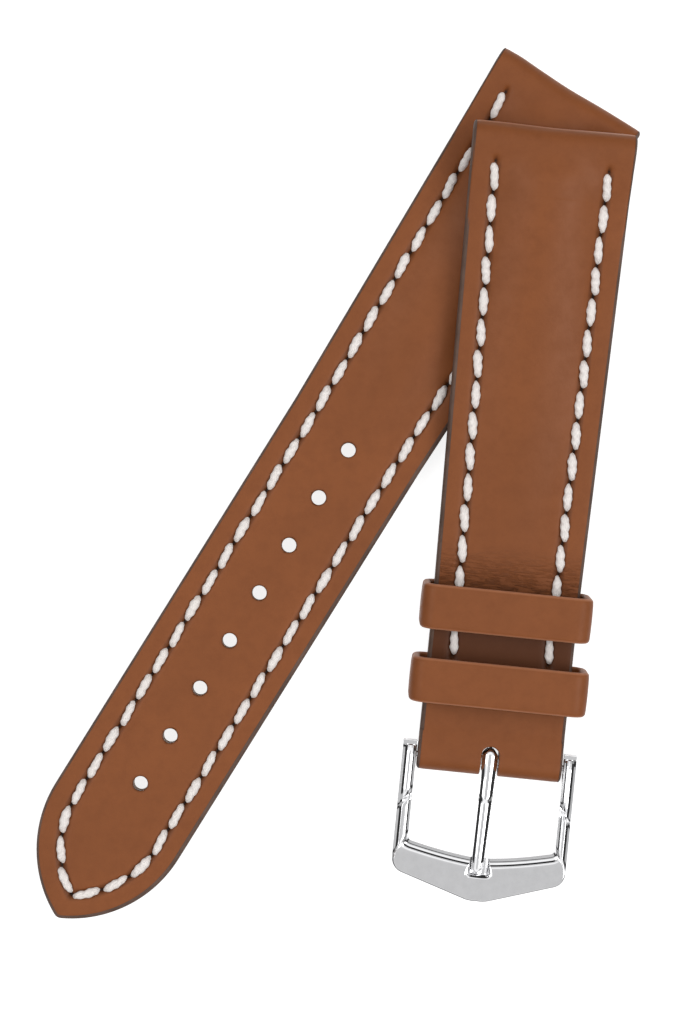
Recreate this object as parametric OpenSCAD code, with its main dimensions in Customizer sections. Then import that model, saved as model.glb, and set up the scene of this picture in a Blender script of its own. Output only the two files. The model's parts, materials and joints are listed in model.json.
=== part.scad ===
// Two-piece padded leather watch strap with a tang buckle, laid out flat with the buckle strap on the hole strap.
// Lengths are millimetres and angles degrees. Each strap is drawn along +X from its lug end, with +Y across it
// and its underside at z = 0, and is then laid in its place.

/* [Both straps] */
// Gap between the watch lugs that the strap fits
lug_gap = 20; // [18.6:0.2:22]
// Play between each edge of the strap and its lug
lug_play = 0.05; // [0.05:0.05:0.3]
// Width of both straps past their taper
strap_w = 17.8; // [16:0.2:18.4]
// Thickness of the upper leather
upper_t = 1.2; // [1:0.1:1.5]
// Thickness of the reinforcement tape between the leathers
tape_t = 0.4; // [0.2:0.1:0.6]
// Thickness of the lining leather
lining_t = 1; // [0.8:0.1:1.3]
// Thickness of the paint on the cut edges
paint_t = 0.25; // [0.15:0.05:0.4]

/* [Padding] */
// Height of the padded crown above the strap's flat edges
crown_h = 2.2; // [1.4:0.1:2.6]
// Distance from the lug end at which the crown is highest
crown_from = 12; // [10:0.5:16]
// Radius of the curve that lifts the crown out of the lug end
crown_rise_r = 40; // [30:1:60]
// Radius across the crown where it starts
crown_start_r = 9; // [8:0.5:12]
// Radius across the crown where it has sunk into the strap
crown_end_r = 20; // [14:0.5:28]
// Distance from the lug end at which the hole strap's crown ends
hole_crown_l = 50; // [40:1:60]
// Distance from the lug end at which the buckle strap's crown ends
buckle_crown_l = 50; // [40:1:54]

/* [Lug ends] */
// Bore of the tunnel for the watch's spring bar
tunnel_d = 2; // [1.6:0.1:2.4]
// Leather around the tunnel
tunnel_wall = 1.1; // [0.9:0.05:1.3]
// Length over which the thickness falls from the tunnel to the flat edge
lug_ramp_l = 6.3; // [5:0.1:8]
// Length of the flap that is turned under, from the lug end
lug_flap_l = 9; // [7:0.5:12]

/* [Hole strap] */
// Length of the hole strap
hole_strap_l = 120; // [112:1:130]
// Length over which the hole strap narrows from the lug end
hole_taper_l = 50; // [40:1:60]
// Length of the pointed tip
tip_l = 14; // [12:0.5:18]
// Number of adjustment holes
hole_n = 8; // [5:1:8]
// Diameter of an adjustment hole
hole_d = 1.8; // [1.5:0.1:2.2]
// Distance between adjustment holes
hole_pitch = 6.9; // [6:0.1:7.2]
// Distance of the first adjustment hole from the lug end
first_hole = 52.2; // [50:0.2:54]

/* [Buckle strap] */
// Length of the buckle strap
buckle_strap_l = 79.6; // [76:0.2:90]
// Length over which the buckle strap narrows from the lug end
buckle_taper_l = 60; // [44:1:62]
// Bore of the fold round the buckle's spring bar
fold_d = 1.7; // [1.64:0.02:1.8]
// Leather around that bore
fold_wall = 0.95; // [0.85:0.05:1.1]
// Length over which the thickness rises to the fold
fold_ramp_l = 4; // [3:0.1:5]
// Width of the slot for the tang
slot_w = 2.4; // [2.2:0.1:3]
// Length of the slot from the end of the strap
slot_l = 4; // [3.9:0.1:4.5]

/* [Keepers] */
// Length of each keeper along the strap
keeper_l = 5.5; // [4:0.1:6]
// Thickness of the keepers' leather
keeper_t = 1; // [0.9:0.05:1.15]
// Room between the strap and the top of each keeper
keeper_room = 3.2; // [2.9:0.1:3.6]
// Outer radius of the keepers' corners
keeper_r = 1.7; // [1.4:0.1:2]
// Play between the free keeper and each edge of the strap
free_keeper_play = 0.35; // [0.3:0.05:0.5]
// Play between the fixed keeper and each edge of the strap
fixed_keeper_play = 0.9; // [0.3:0.05:1]
// Distance from the end of the strap to the fixed keeper
fixed_keeper_back = 8.8; // [7:0.1:9.5]
// Gap between the two keepers
keeper_gap = 3.5; // [2:0.1:5]

/* [Stitching] */
// Distance of each stitch row from the edge
row_inset = 3; // [2.6:0.1:3.3]
// Distance of the first stitch hole from the lug end
row_start = 4.8; // [4.5:0.1:6]
// Distance from one stitch to the next
stitch_pitch = 3.8; // [3.6:0.1:4.4]
// Length of one stitch
stitch_l = 3.2; // [2.6:0.1:3.4]
// Diameter of the needle thread
needle_d = 0.95; // [0.7:0.05:1]
// Diameter of the bobbin thread
bobbin_d = 0.5; // [0.4:0.05:0.55]
// Width of the pressed groove that a row lies in
groove_w = 1.3; // [1.25:0.05:1.5]
// Depth of the groove in the upper leather
top_groove_d = 0.45; // [0.3:0.05:0.6]
// Depth of the groove in the underside
under_groove_d = 0.6; // [0.58:0.01:0.65]

/* [Buckle] */
// Outer width of the buckle
buckle_w = 21.2; // [20.8:0.1:22]
// Width of each side arm
arm_w = 1.55; // [1.5:0.05:1.7]
// Height of the ears that hold the spring bar
ear_h = 3.5; // [3.2:0.1:3.6]
// Distance from the spring bar's axis to the point of the front bar
apex_x = 17.5; // [16.8:0.1:19]
// Slope of the front bar's outer edges
front_slope = 17.5; // [14:0.5:20]
// Radius of the buckle's front corners
corner_r = 1.5; // [1:0.1:2]
// Distance from the axis to the inner edge of the front bar at its sides
inner_side_x = 10.5; // [9.6:0.1:10.8]
// Distance from the axis to the inner edge of the front bar in the middle
inner_mid_x = 11.9; // [11.4:0.1:12.3]
// Thickness of the front bar
front_bar_t = 1.9; // [1.6:0.1:2.2]
// Height of the arch under each side arm
arm_arch = 0.8; // [0.4:0.1:1]
// Width of the chamfers along the frame's top edges
frame_chamfer = 0.4; // [0.2:0.05:0.5]
// Width of the bevel along the front bar's inner edge
bar_bevel = 0.85; // [0.4:0.1:1]
// Width of the notch that the tang's tip lies in
notch_w = 2.5; // [2:0.1:3]

/* [Tang] */
// Distance from the spring bar's axis to the tang's tip
tang_l = 13.7; // [13.2:0.1:14.4]
// Width of the tang at its eye
tang_eye_w = 1.8; // [1.6:0.1:2]
// Width of the tang at its tip
tang_tip_w = 1.35; // [1.1:0.05:1.5]
// Outer radius of the eye
tang_eye_r = 1.6; // [1.5:0.05:1.65]
// Thickness of the tang
tang_t = 0.85; // [0.75:0.05:0.9]
// Distance from the axis to the step where the rolled eye ends
tang_step_x = 5.8; // [4:0.1:7]
// Height of that step
tang_step_h = 0.12; // [0.05:0.01:0.2]

/* [Spring bar] */
// Outer diameter of the spring bar's tube
tube_d = 1.5; // [1.4:0.02:1.54]
// Wall of the tube
tube_wall = 0.22; // [0.18:0.01:0.25]
// Play between the tube's end and each arm
tube_play = 0.2; // [0.1:0.05:0.4]
// Length of the lip that keeps each plunger in the tube
lip_l = 0.3; // [0.2:0.05:0.5]
// Diameter of the plungers' tips
tip_d = 0.8; // [0.7:0.02:0.84]
// Length of a plunger's tip inside its ear
tip_in_ear = 1; // [0.8:0.05:1.1]
// Length of a plunger's head inside the tube
head_l = 1.6; // [1.2:0.1:2]
// Diameter of the spring's wire
wire_d = 0.2; // [0.16:0.01:0.22]
// Number of turns in the spring
spring_turns = 21; // [16:1:22]

/* [Lay] */
// Play of parts that turn or slide on each other
running_play = 0.05; // [0.03:0.01:0.06]
// Height of the buckle strap's lug end above the crown that it lies on
lay_gap = 0.7; // [0.6:0.05:1.2]
// Where the hole strap's lug end lies across the layout
hole_strap_x = 28.8; // [20:0.1:40]
// Where the hole strap's lug end lies along the layout
hole_strap_y = 48.4; // [40:0.1:60]
// Direction in which the hole strap runs
hole_strap_turn = -121.95; // [-130:0.05:-115]
// Where the buckle strap's lug end lies across the layout
buckle_strap_x = 26.3; // [24:0.1:30]
// Where the buckle strap's lug end lies along the layout
buckle_strap_y = 43.2; // [40:0.1:46]
// Direction in which the buckle strap runs
buckle_strap_turn = -95.75; // [-100:0.05:-90]

/* [Hidden] */
$fn = 96;

leather = [0.56, 0.33, 0.20];
lining_leather = [0.72, 0.58, 0.44];
keeper_leather = [0.58, 0.35, 0.23];
felt = [0.80, 0.78, 0.72];
tape_white = [0.88, 0.87, 0.84];
thread_white = [0.92, 0.89, 0.84];
paint_brown = [0.30, 0.25, 0.21];
polished_steel = [0.80, 0.80, 0.82];
spring_steel = [0.62, 0.63, 0.65];

// past is how far a cutting shape runs beyond what it cuts
past = 1;
far = 200;
base_t = lining_t + tape_t;
edge_t = base_t + upper_t;
lug_half_w = lug_gap / 2 - lug_play;
end_half_w = strap_w / 2;

lug_roll_r = tunnel_d / 2 + tunnel_wall;
fold_roll_r = fold_d / 2 + fold_wall;
bar_s = buckle_strap_l - fold_roll_r;
slot_s = buckle_strap_l - slot_l + slot_w / 2;
fixed_keeper_s = buckle_strap_l - fixed_keeper_back - keeper_l;
free_keeper_s = fixed_keeper_s - keeper_gap - keeper_l;
free_keeper_slack = running_play;

tip_from = hole_strap_l - tip_l;
tip_r = (tip_l * tip_l + end_half_w * end_half_w) / (2 * end_half_w);

// The crown starts behind the lug roll and is cut off short of its thin end, and the ramp's kink is in degrees
crown_behind = 0.6;
crown_back = lug_roll_r + crown_behind;
crown_over = 3;
crown_seam = 0.02;
ramp_kink = 4;

// The ends of a stitch, as shares of the thread's diameter
stitch_end_share = 0.55;
stitch_end_reach = 0.4;

bar_r = tube_d / 2;
tube_bore_r = bar_r - tube_wall;
buckle_half_w = buckle_w / 2;
inner_half_w = buckle_half_w - arm_w;
tube_half_l = inner_half_w - tube_play;
frame_top = ear_h / 2;
head_r = tube_bore_r - running_play / 2;
pin_r = tip_d / 2;
ear_bore_r = pin_r + running_play;
ear_bore_l = tip_in_ear + 2 * running_play;
spring_half_l = tube_half_l - lip_l - head_l - running_play;
coil_r = head_r - wire_d / 2;
coil_rings = 8;
wire_sides = 6;
spring_pitch = 2 * (spring_half_l - wire_d / 2) / spring_turns;

tang_top = tang_eye_r - running_play;
tang_floor = tang_top - tang_t;
notch_floor = tang_floor - running_play;
tang_end_play = 0.3;
arch_after_ear = 0.5;
arch_past_bar = 1.5;

// The buckle strap leans down from the crown that its lug end lies on, to where its keeper or its end is low
lay_rise = edge_t + crown_h + lay_gap;
strap_lean = min(asin(lay_rise / buckle_strap_l),
                 asin((lay_rise - keeper_t - free_keeper_slack) / (free_keeper_s + keeper_l)));
bar_height = lay_rise - bar_s * sin(strap_lean) + fold_roll_r * cos(strap_lean);
bar_run = bar_s * cos(strap_lean) + fold_roll_r * sin(strap_lean);
foot_x = apex_x - buckle_half_w * tan(front_slope);
frame_lean = asin((bar_height - ear_h / 2) / foot_x);

// Half the width of a strap at a distance from its lug end
function half_w(s, taper_l) =
  s < taper_l ? lug_half_w - (lug_half_w - end_half_w) * s / taper_l : end_half_w;

// Angle from the vertical at which the ramp meets a rolled end of radius r, just past its tangent
function ramp_from(r, run) =
  90 - atan2(edge_t - r, run) - acos(r / norm([run, edge_t - r])) + ramp_kink;

// Slope of that ramp, which falls over a length run to the flat edge
function ramp_fall(r, run) =
  let (a = ramp_from(r, run)) atan((r + r * cos(a) - edge_t) / (run - r * sin(a)));

// Height of the top surface at a distance s along the edge from a rolled end of radius r
function top_z(s, r, run) = edge_t + max(0, r + run - s) * tan(ramp_fall(r, run));

// Outline of a strap drawn in from its edges, open past both ends
module strap_outline(strap_l, taper_l, inset) {
  back = half_w(-past, taper_l) - inset;
  front = end_half_w - inset;
  polygon([[-past, -back], [taper_l, -front], [strap_l, -front], [strap_l, front], [taper_l, front], [-past, back]]);
}

// Outline of the hole strap drawn in from its edges: its tip is two arcs that meet in a point
module hole_outline(inset) {
  strap_outline(tip_from, hole_taper_l, inset);
  intersection() {
    translate([tip_from, end_half_w - tip_r]) circle(r = tip_r - inset);
    translate([tip_from, tip_r - end_half_w]) circle(r = tip_r - inset);
    translate([tip_from, -end_half_w]) square([tip_l + past, 2 * end_half_w]);
  }
}

module buckle_outline(inset) {
  strap_outline(buckle_strap_l + past, buckle_taper_l, inset);
}

// Carries a side view, drawn with +Y up, across the strap
module across() {
  rotate([90, 0, 0]) linear_extrude(far, center = true) children();
}

// Side view of a rolled end of radius r and the ramp behind it
module roll_side(r, run) {
  fall = ramp_fall(r, run);
  inside_r = r * cos(ramp_from(r, run) - fall);
  translate([r, r]) intersection() {
    circle(r = r);
    polygon([[-r - past, -r - past], [0, -r - past], [0, 0], [r + past, 0], [r + past, r + past],
             [-r - past, r + past]]);
  }
  polygon([[r, 0], [r + run, 0], [r + run, edge_t], [r + inside_r * sin(fall), r + inside_r * cos(fall)], [r, r]]);
}

// Side view of what the upper leather wraps behind a rolled end, from the top of the lining upwards
module wedge_side(r, run) {
  a = ramp_from(r, run);
  fall = ramp_fall(r, run);
  difference() {
    polygon([[r, base_t], [r + run - upper_t * tan(fall / 2), base_t],
             [r + r * sin(a) - upper_t * sin(fall), r + r * cos(a) - upper_t * cos(fall)]]);
    translate([r, r]) circle(r = r);
  }
}

// Side view of the flat layer between two heights, from behind the lug roll to an end
module layer_side(low, high, end_s) {
  difference() {
    translate([lug_roll_r, low]) square([end_s - lug_roll_r, high - low]);
    translate([lug_roll_r, lug_roll_r]) circle(r = lug_roll_r);
  }
}

module hole_strap_side() {
  roll_side(lug_roll_r, lug_ramp_l);
  translate([lug_roll_r + lug_ramp_l, 0]) square([hole_strap_l + past - lug_roll_r - lug_ramp_l, edge_t]);
}

module buckle_strap_side() {
  roll_side(lug_roll_r, lug_ramp_l);
  run_l = buckle_strap_l - lug_roll_r - lug_ramp_l - fold_roll_r - fold_ramp_l;
  translate([lug_roll_r + lug_ramp_l, 0]) square([run_l, edge_t]);
  at_fold() roll_side(fold_roll_r, fold_ramp_l);
}

// Turns a side view drawn from a rolled end round to the buckle's end of the strap
module at_fold() {
  translate([buckle_strap_l, 0]) mirror([1, 0]) children();
}

// The padding's crown, drawn in by a depth: a cone whose top line falls to the flat strap, and whose start is
// rounded off by an arc that runs across the strap
module crown(crown_l, depth) {
  fall = atan(crown_h / (crown_l - crown_from));
  run = crown_l + crown_over - crown_back;
  start_r = crown_start_r - (crown_end_r - crown_start_r) * (crown_from - crown_back) / (crown_l - crown_from);
  widen = atan((crown_end_r - crown_start_r) / (crown_l - crown_from));
  end_r = start_r + run * tan(widen);
  start_z = edge_t + crown_h + (crown_from - crown_back) * tan(fall);
  intersection() {
    translate([crown_back, 0, start_z]) rotate([0, 90 + widen + fall, 0]) translate([start_r, 0, 0])
      cylinder(h = run, r1 = start_r - depth, r2 = end_r - depth);
    across() {
      translate([crown_from, edge_t + crown_h + crown_seam - crown_rise_r]) circle(r = crown_rise_r - depth);
      translate([crown_from, 0]) square([crown_l, edge_t + 2 * crown_h]);
    }
    translate([0, -far / 2, base_t]) cube([far, far, edge_t + crown_h]);
  }
}

// The padding: the wedge behind the lug roll and the crown's filling
module padding(crown_l) {
  across() wedge_side(lug_roll_r, lug_ramp_l);
  difference() {
    crown(crown_l, upper_t);
    across() {
      translate([lug_roll_r, lug_roll_r]) circle(r = lug_roll_r);
      translate([crown_l - crown_over, 0]) square([2 * crown_over, edge_t + crown_h]);
    }
  }
}

module tunnel() {
  translate([lug_roll_r, 0, lug_roll_r]) rotate([90, 0, 0]) cylinder(d = tunnel_d, h = far, center = true);
}

// Band that the stitch rows lie in, cut off at their start
module hole_rows() {
  intersection() {
    difference() {
      hole_outline(row_inset - groove_w / 2);
      hole_outline(row_inset + groove_w / 2);
    }
    translate([row_start - groove_w / 4, -end_half_w - past]) square([far, 2 * (end_half_w + past)]);
  }
}

module buckle_rows() {
  intersection() {
    difference() {
      buckle_outline(row_inset - groove_w / 2);
      buckle_outline(row_inset + groove_w / 2);
    }
    translate([row_start - groove_w / 4, -end_half_w - past])
      square([fixed_keeper_s - row_start + groove_w / 4, 2 * (end_half_w + past)]);
  }
}

module adjustment_holes() {
  for (i = [0:hole_n - 1])
    translate([first_hole + i * hole_pitch, 0, -past]) cylinder(d = hole_d, h = edge_t + crown_h + 2 * past);
}

// One stitch from one point to another, thick in the middle and drawn in at its ends
module stitch(from, to, d) {
  run = norm(to - from);
  end_d = d * stitch_end_share;
  end_l = d * stitch_end_reach;
  turn = atan2(to[1] - from[1], to[0] - from[0]);
  dip = asin((from[2] - to[2]) / run);
  translate(from) rotate([0, 90 + dip, turn])
    rotate_extrude($fn = 24)
      polygon([[0, 0], [end_d / 2, 0], [d / 2, end_l], [d / 2, run - end_l], [end_d / 2, run], [0, run]]);
}

// Point on one stitch row of the hole strap, a distance along it from the first stitch hole
function hole_row(along) =
  let (straight = tip_from - row_start, arc_r = tip_r - row_inset, a = (along - straight) / arc_r * 180 / PI)
  along < straight
    ? [row_start + along, half_w(row_start + along, hole_taper_l) - row_inset]
    : [tip_from + arc_r * sin(a), end_half_w - tip_r + arc_r * cos(a)];

function buckle_row(along) = [row_start + along, half_w(row_start + along, buckle_taper_l) - row_inset];

hole_row_l = tip_from - row_start
  + (tip_r - row_inset) * acos((tip_r - end_half_w) / (tip_r - row_inset)) * PI / 180;
hole_stitches = round(hole_row_l / stitch_pitch);
buckle_row_l = fixed_keeper_s - row_start;
buckle_stitches = round(buckle_row_l / stitch_pitch);

// Height of a needle stitch's axis over the row at a distance from the lug end
function needle_z(s) =
  top_z(s, lug_roll_r, lug_ramp_l) - top_groove_d + needle_d / 2 + running_play;
bobbin_z = under_groove_d - bobbin_d / 2 - running_play;

// Where stitches of equal pitch along a row of length l start and end
function stitch_ends(l, n) =
  let (step = l / n) [for (i = [0:n - 1]) [for (end = [-1, 1]) (i + 0.5) * step + end * stitch_l / 2]];

module row_stitches(points, d) {
  for (side = [0, 1]) mirror([0, side, 0])
    for (p = points) stitch(p[0], p[1], d);
}

// Everything of the hole strap that isn't its upper leather: wedge, tape and lining
module hole_core() {
  across() {
    wedge_side(lug_roll_r, lug_ramp_l);
    layer_side(lining_t, base_t, hole_strap_l + past);
    translate([lug_flap_l, -past]) square([hole_strap_l + past - lug_flap_l, lining_t + past]);
  }
  padding(hole_crown_l);
}

// What the stitch rows press out of a strap whose side view is the child
module top_groove() {
  translate([0, 0, -top_groove_d]) across() children();
}

module under_groove() {
  translate([0, 0, -past]) linear_extrude(under_groove_d + past) children();
}

module lay_hole_strap() {
  translate([hole_strap_x, hole_strap_y, 0]) rotate([0, 0, hole_strap_turn]) children();
}

module lay_buckle_strap() {
  translate([buckle_strap_x, buckle_strap_y, lay_rise]) rotate([0, 0, buckle_strap_turn])
    rotate([0, strap_lean, 0]) children();
}

module at_bar() {
  lay_buckle_strap() translate([bar_s, 0, fold_roll_r]) children();
}

module lay_buckle() {
  translate([buckle_strap_x, buckle_strap_y, 0]) rotate([0, 0, buckle_strap_turn])
    translate([bar_run, 0, bar_height]) rotate([0, frame_lean, 0]) children();
}

module hole_strap_upper() color(leather) lay_hole_strap() difference() {
  intersection() {
    linear_extrude(edge_t + 2 * crown_h) hole_outline(paint_t);
    union() {
      across() hole_strap_side();
      crown(hole_crown_l, 0);
    }
  }
  hole_core();
  tunnel();
  difference() {
    linear_extrude(edge_t + 2 * crown_h) hole_rows();
    top_groove() hole_strap_side();
  }
  under_groove() hole_rows();
  adjustment_holes();
}

module hole_strap_padding() color(felt) lay_hole_strap() intersection() {
  linear_extrude(edge_t + crown_h) hole_outline(paint_t);
  padding(hole_crown_l);
}

module hole_strap_tape() color(tape_white) lay_hole_strap() difference() {
  intersection() {
    linear_extrude(edge_t) hole_outline(paint_t);
    across() layer_side(lining_t, base_t, hole_strap_l + past);
  }
  adjustment_holes();
}

module hole_strap_lining() color(lining_leather) lay_hole_strap() difference() {
  intersection() {
    linear_extrude(lining_t) hole_outline(paint_t);
    translate([lug_flap_l, -far / 2, -past]) cube([hole_strap_l, far, lining_t + 2 * past]);
  }
  under_groove() hole_rows();
  adjustment_holes();
}

module hole_strap_needle_thread() color(thread_white) lay_hole_strap() {
  points = [for (e = stitch_ends(hole_row_l, hole_stitches)) [for (along = e)
    let (p = hole_row(along)) [p[0], p[1], needle_z(p[0])]]];
  row_stitches(points, needle_d);
}

module hole_strap_bobbin_thread() color(thread_white) lay_hole_strap() {
  points = [for (e = stitch_ends(hole_row_l, hole_stitches)) [for (along = e)
    let (p = hole_row(along)) [p[0], p[1], bobbin_z]]];
  row_stitches(points, bobbin_d);
}

module hole_strap_edge_paint() color(paint_brown) lay_hole_strap() difference() {
  intersection() {
    linear_extrude(edge_t + crown_h) difference() {
      hole_outline(0);
      hole_outline(paint_t);
    }
    across() hole_strap_side();
  }
  tunnel();
}

// Everything of the buckle strap that isn't its upper leather
module buckle_core() {
  across() {
    wedge_side(lug_roll_r, lug_ramp_l);
    buckle_tape_side();
    translate([lug_flap_l, -past]) square([fixed_keeper_s + keeper_l - lug_flap_l, lining_t + past]);
  }
  padding(buckle_crown_l);
}

// Side view of the buckle strap's tape, which also fills the wedge behind the fold
module buckle_tape_side() {
  difference() {
    layer_side(lining_t, base_t, bar_s);
    at_fold() translate([fold_roll_r, fold_roll_r]) circle(r = fold_roll_r);
  }
  at_fold() wedge_side(fold_roll_r, fold_ramp_l);
}

module fold_bore() {
  translate([bar_s, 0, fold_roll_r]) rotate([90, 0, 0]) cylinder(d = fold_d, h = far, center = true);
}

module tang_slot() {
  translate([slot_s, 0, -past]) cylinder(d = slot_w, h = 2 * fold_roll_r + 2 * past);
  translate([slot_s, -slot_w / 2, -past]) cube([slot_l + past, slot_w, 2 * fold_roll_r + 2 * past]);
}

module buckle_strap_upper() color(leather) lay_buckle_strap() difference() {
  intersection() {
    linear_extrude(edge_t + 2 * crown_h) buckle_outline(paint_t);
    union() {
      across() buckle_strap_side();
      crown(buckle_crown_l, 0);
    }
  }
  buckle_core();
  tunnel();
  fold_bore();
  tang_slot();
  difference() {
    linear_extrude(edge_t + 2 * crown_h) buckle_rows();
    top_groove() buckle_strap_side();
  }
  under_groove() buckle_rows();
}

module buckle_strap_padding() color(felt) lay_buckle_strap() intersection() {
  linear_extrude(edge_t + crown_h) buckle_outline(paint_t);
  padding(buckle_crown_l);
}

module buckle_strap_tape() color(tape_white) lay_buckle_strap() difference() {
  intersection() {
    linear_extrude(edge_t + crown_h) buckle_outline(paint_t);
    across() buckle_tape_side();
  }
  tang_slot();
}

module buckle_strap_lining() color(lining_leather) lay_buckle_strap() difference() {
  intersection() {
    linear_extrude(lining_t) buckle_outline(paint_t);
    translate([lug_flap_l, -far / 2, -past]) cube([fixed_keeper_s - lug_flap_l, far, lining_t + 2 * past]);
  }
  under_groove() buckle_rows();
}

module buckle_strap_needle_thread() color(thread_white) lay_buckle_strap() {
  points = [for (e = stitch_ends(buckle_row_l, buckle_stitches)) [for (along = e)
    let (p = buckle_row(along)) [p[0], p[1], needle_z(p[0])]]];
  row_stitches(points, needle_d);
}

module buckle_strap_bobbin_thread() color(thread_white) lay_buckle_strap() {
  points = [for (e = stitch_ends(buckle_row_l, buckle_stitches)) [for (along = e)
    let (p = buckle_row(along)) [p[0], p[1], bobbin_z]]];
  row_stitches(points, bobbin_d);
}

module buckle_strap_edge_paint() color(paint_brown) lay_buckle_strap() difference() {
  intersection() {
    linear_extrude(edge_t + crown_h) difference() {
      buckle_outline(0);
      buckle_outline(paint_t);
    }
    across() buckle_strap_side();
  }
  tunnel();
  fold_bore();
  translate([fixed_keeper_s, -far / 2, -past]) cube([keeper_l, far, lining_t + past]);
}

// A rectangle from -half to half and from low to high whose corners are quarter circles, all four or the top two
module round_box(half, low, high, r, bottom) {
  low_r = bottom ? r : 0;
  polygon([[-half, low + low_r], [-half + low_r, low + low_r], [-half + low_r, low], [half - low_r, low],
           [half - low_r, low + low_r], [half, low + low_r], [half, high - r], [half - r, high - r],
           [half - r, high], [-half + r, high], [-half + r, high - r], [-half, high - r]]);
  for (side = [-1, 1]) {
    corner(side * (half - r), high - r, side, 1, r);
    if (bottom) corner(side * (half - r), low + r, side, -1, r);
  }
}

// A quarter circle that points to the given side and up or down
module corner(x, y, side, up, r) {
  translate([x, y]) intersection() {
    circle(r = r);
    translate([side < 0 ? -2 * r : 0, up < 0 ? -2 * r : 0]) square([2 * r, 2 * r]);
  }
}

// A leather loop round the strap, drawn across it: bottom_t is its thickness under the strap
module keeper(play, low, bottom_t) {
  half = end_half_w + play;
  high = edge_t + keeper_room;
  rotate([90, 0, 90]) linear_extrude(keeper_l) difference() {
    round_box(half + keeper_t, low - bottom_t, high + keeper_t, keeper_r, true);
    round_box(half, low, high, keeper_r - keeper_t, false);
  }
}

module fixed_keeper() color(keeper_leather) lay_buckle_strap()
  translate([fixed_keeper_s, 0, 0]) keeper(fixed_keeper_play, lining_t, lining_t);

module free_keeper() color(keeper_leather) lay_buckle_strap()
  translate([free_keeper_s, 0, 0]) keeper(free_keeper_play, -free_keeper_slack, keeper_t);

// A cylinder along the spring bar from one distance to another
module bar_cylinder(r, from, to) {
  rotate([-90, 0, 0]) translate([0, 0, from]) cylinder(r = r, h = to - from);
}

module spring_bar_tube() color(spring_steel) at_bar() difference() {
  bar_cylinder(bar_r, -tube_half_l, tube_half_l);
  bar_cylinder(tube_bore_r, -tube_half_l + lip_l, tube_half_l - lip_l);
  bar_cylinder(pin_r + running_play / 2, -tube_half_l - past, tube_half_l + past);
}

// A plunger toward +Y: its head is held in the tube and its tip stands in the ear
module plunger() {
  head_from = tube_half_l - lip_l - running_play / 2 - head_l;
  bar_cylinder(head_r, head_from, head_from + head_l);
  bar_cylinder(pin_r, head_from + head_l, inner_half_w + tip_in_ear);
}

module spring_bar_plunger_left() color(spring_steel) at_bar() mirror([0, 1, 0]) plunger();

module spring_bar_plunger_right() color(spring_steel) at_bar() plunger();

// The spring is a round wire whose middle line climbs along the bar by one pitch a turn
spring_line = [for (i = [0:spring_turns * coil_rings])
  let (a = 360 * i / coil_rings)
  [coil_r * cos(a), -spring_half_l + wire_d / 2 + spring_pitch * i / coil_rings, coil_r * sin(a)]];
echo(least_gap_between_turns =
  min([for (i = [0:len(spring_line) - coil_rings - 1])
    for (k = [-1:1]) if (i + coil_rings + k < len(spring_line))
      norm(spring_line[i + coil_rings + k] - spring_line[i])]) - wire_d);

module spring_bar_spring() color(spring_steel) at_bar() {
  climb = atan(spring_pitch / (2 * PI * coil_r));
  points = [for (i = [0:len(spring_line) - 1]) for (j = [0:wire_sides - 1])
    let (a = 360 * i / coil_rings, b = 360 * j / wire_sides,
         outward = [cos(a), 0, sin(a)],
         up = [sin(climb) * sin(a), cos(climb), -sin(climb) * cos(a)])
    spring_line[i] + wire_d / 2 * (cos(b) * outward + sin(b) * up)];
  last = (len(spring_line) - 1) * wire_sides;
  sides = [for (i = [0:len(spring_line) - 2]) for (j = [0:wire_sides - 1])
    let (a = i * wire_sides, k = (j + 1) % wire_sides)
    each [[a + j, a + k, a + wire_sides + j], [a + k, a + wire_sides + k, a + wire_sides + j]]];
  caps = [for (j = [1:wire_sides - 2]) each [[0, j + 1, j], [last, last + j, last + j + 1]]];
  polyhedron(points = points, faces = concat(sides, caps));
}

// Plan of the frame's outside: straight arms, rounded front corners and two edges that meet in a point
module frame_outline() {
  corner_x = apex_x - buckle_half_w * tan(front_slope);
  reach = corner_r * tan((90 - front_slope) / 2);
  for (side = [0, 1]) mirror([0, side]) {
    translate([corner_x - reach, buckle_half_w - corner_r]) intersection() {
      circle(r = corner_r);
      polygon([[0, 0], [0, 2 * corner_r], [3 * corner_r, 2 * corner_r],
               [3 * corner_r * cos(front_slope), 3 * corner_r * sin(front_slope)]]);
    }
    polygon([[-ear_h, 0], [apex_x, 0],
             [corner_x - reach + corner_r * cos(front_slope), buckle_half_w - corner_r + corner_r * sin(front_slope)],
             [corner_x - reach, buckle_half_w - corner_r], [corner_x - reach, buckle_half_w],
             [-ear_h, buckle_half_w]]);
  }
}

// Plan of the opening inside the frame
module frame_window() {
  polygon([[-ear_h - past, -inner_half_w], [inner_side_x, -inner_half_w], [inner_mid_x, 0],
           [inner_side_x, inner_half_w], [-ear_h - past, inner_half_w]]);
}

// Side view of the frame: round ears, a flat top and an arch under each arm
module frame_side() {
  arch_from = ear_h / 2 + arch_after_ear;
  arch_to = inner_side_x + arch_past_bar;
  arch_half = (arch_to - arch_from) / 2;
  arch_r = (arch_half * arch_half + arm_arch * arm_arch) / (2 * arm_arch);
  intersection() {
    circle(d = ear_h);
    translate([-ear_h, -ear_h]) square([ear_h, 2 * ear_h]);
  }
  difference() {
    translate([0, -ear_h / 2]) square([apex_x + past, ear_h]);
    translate([arch_from + arch_half, -ear_h / 2 + arm_arch - arch_r]) circle(r = arch_r);
  }
}

// A square bar on its edge, which cuts a 45 degree chamfer of the given width along an edge on Y
module chamfer_bar(width, l) {
  rotate([0, 45, 0]) translate([-width * sqrt(2) / 2, 0, -width * sqrt(2) / 2])
    cube([width * sqrt(2), l, width * sqrt(2)]);
}

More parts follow.
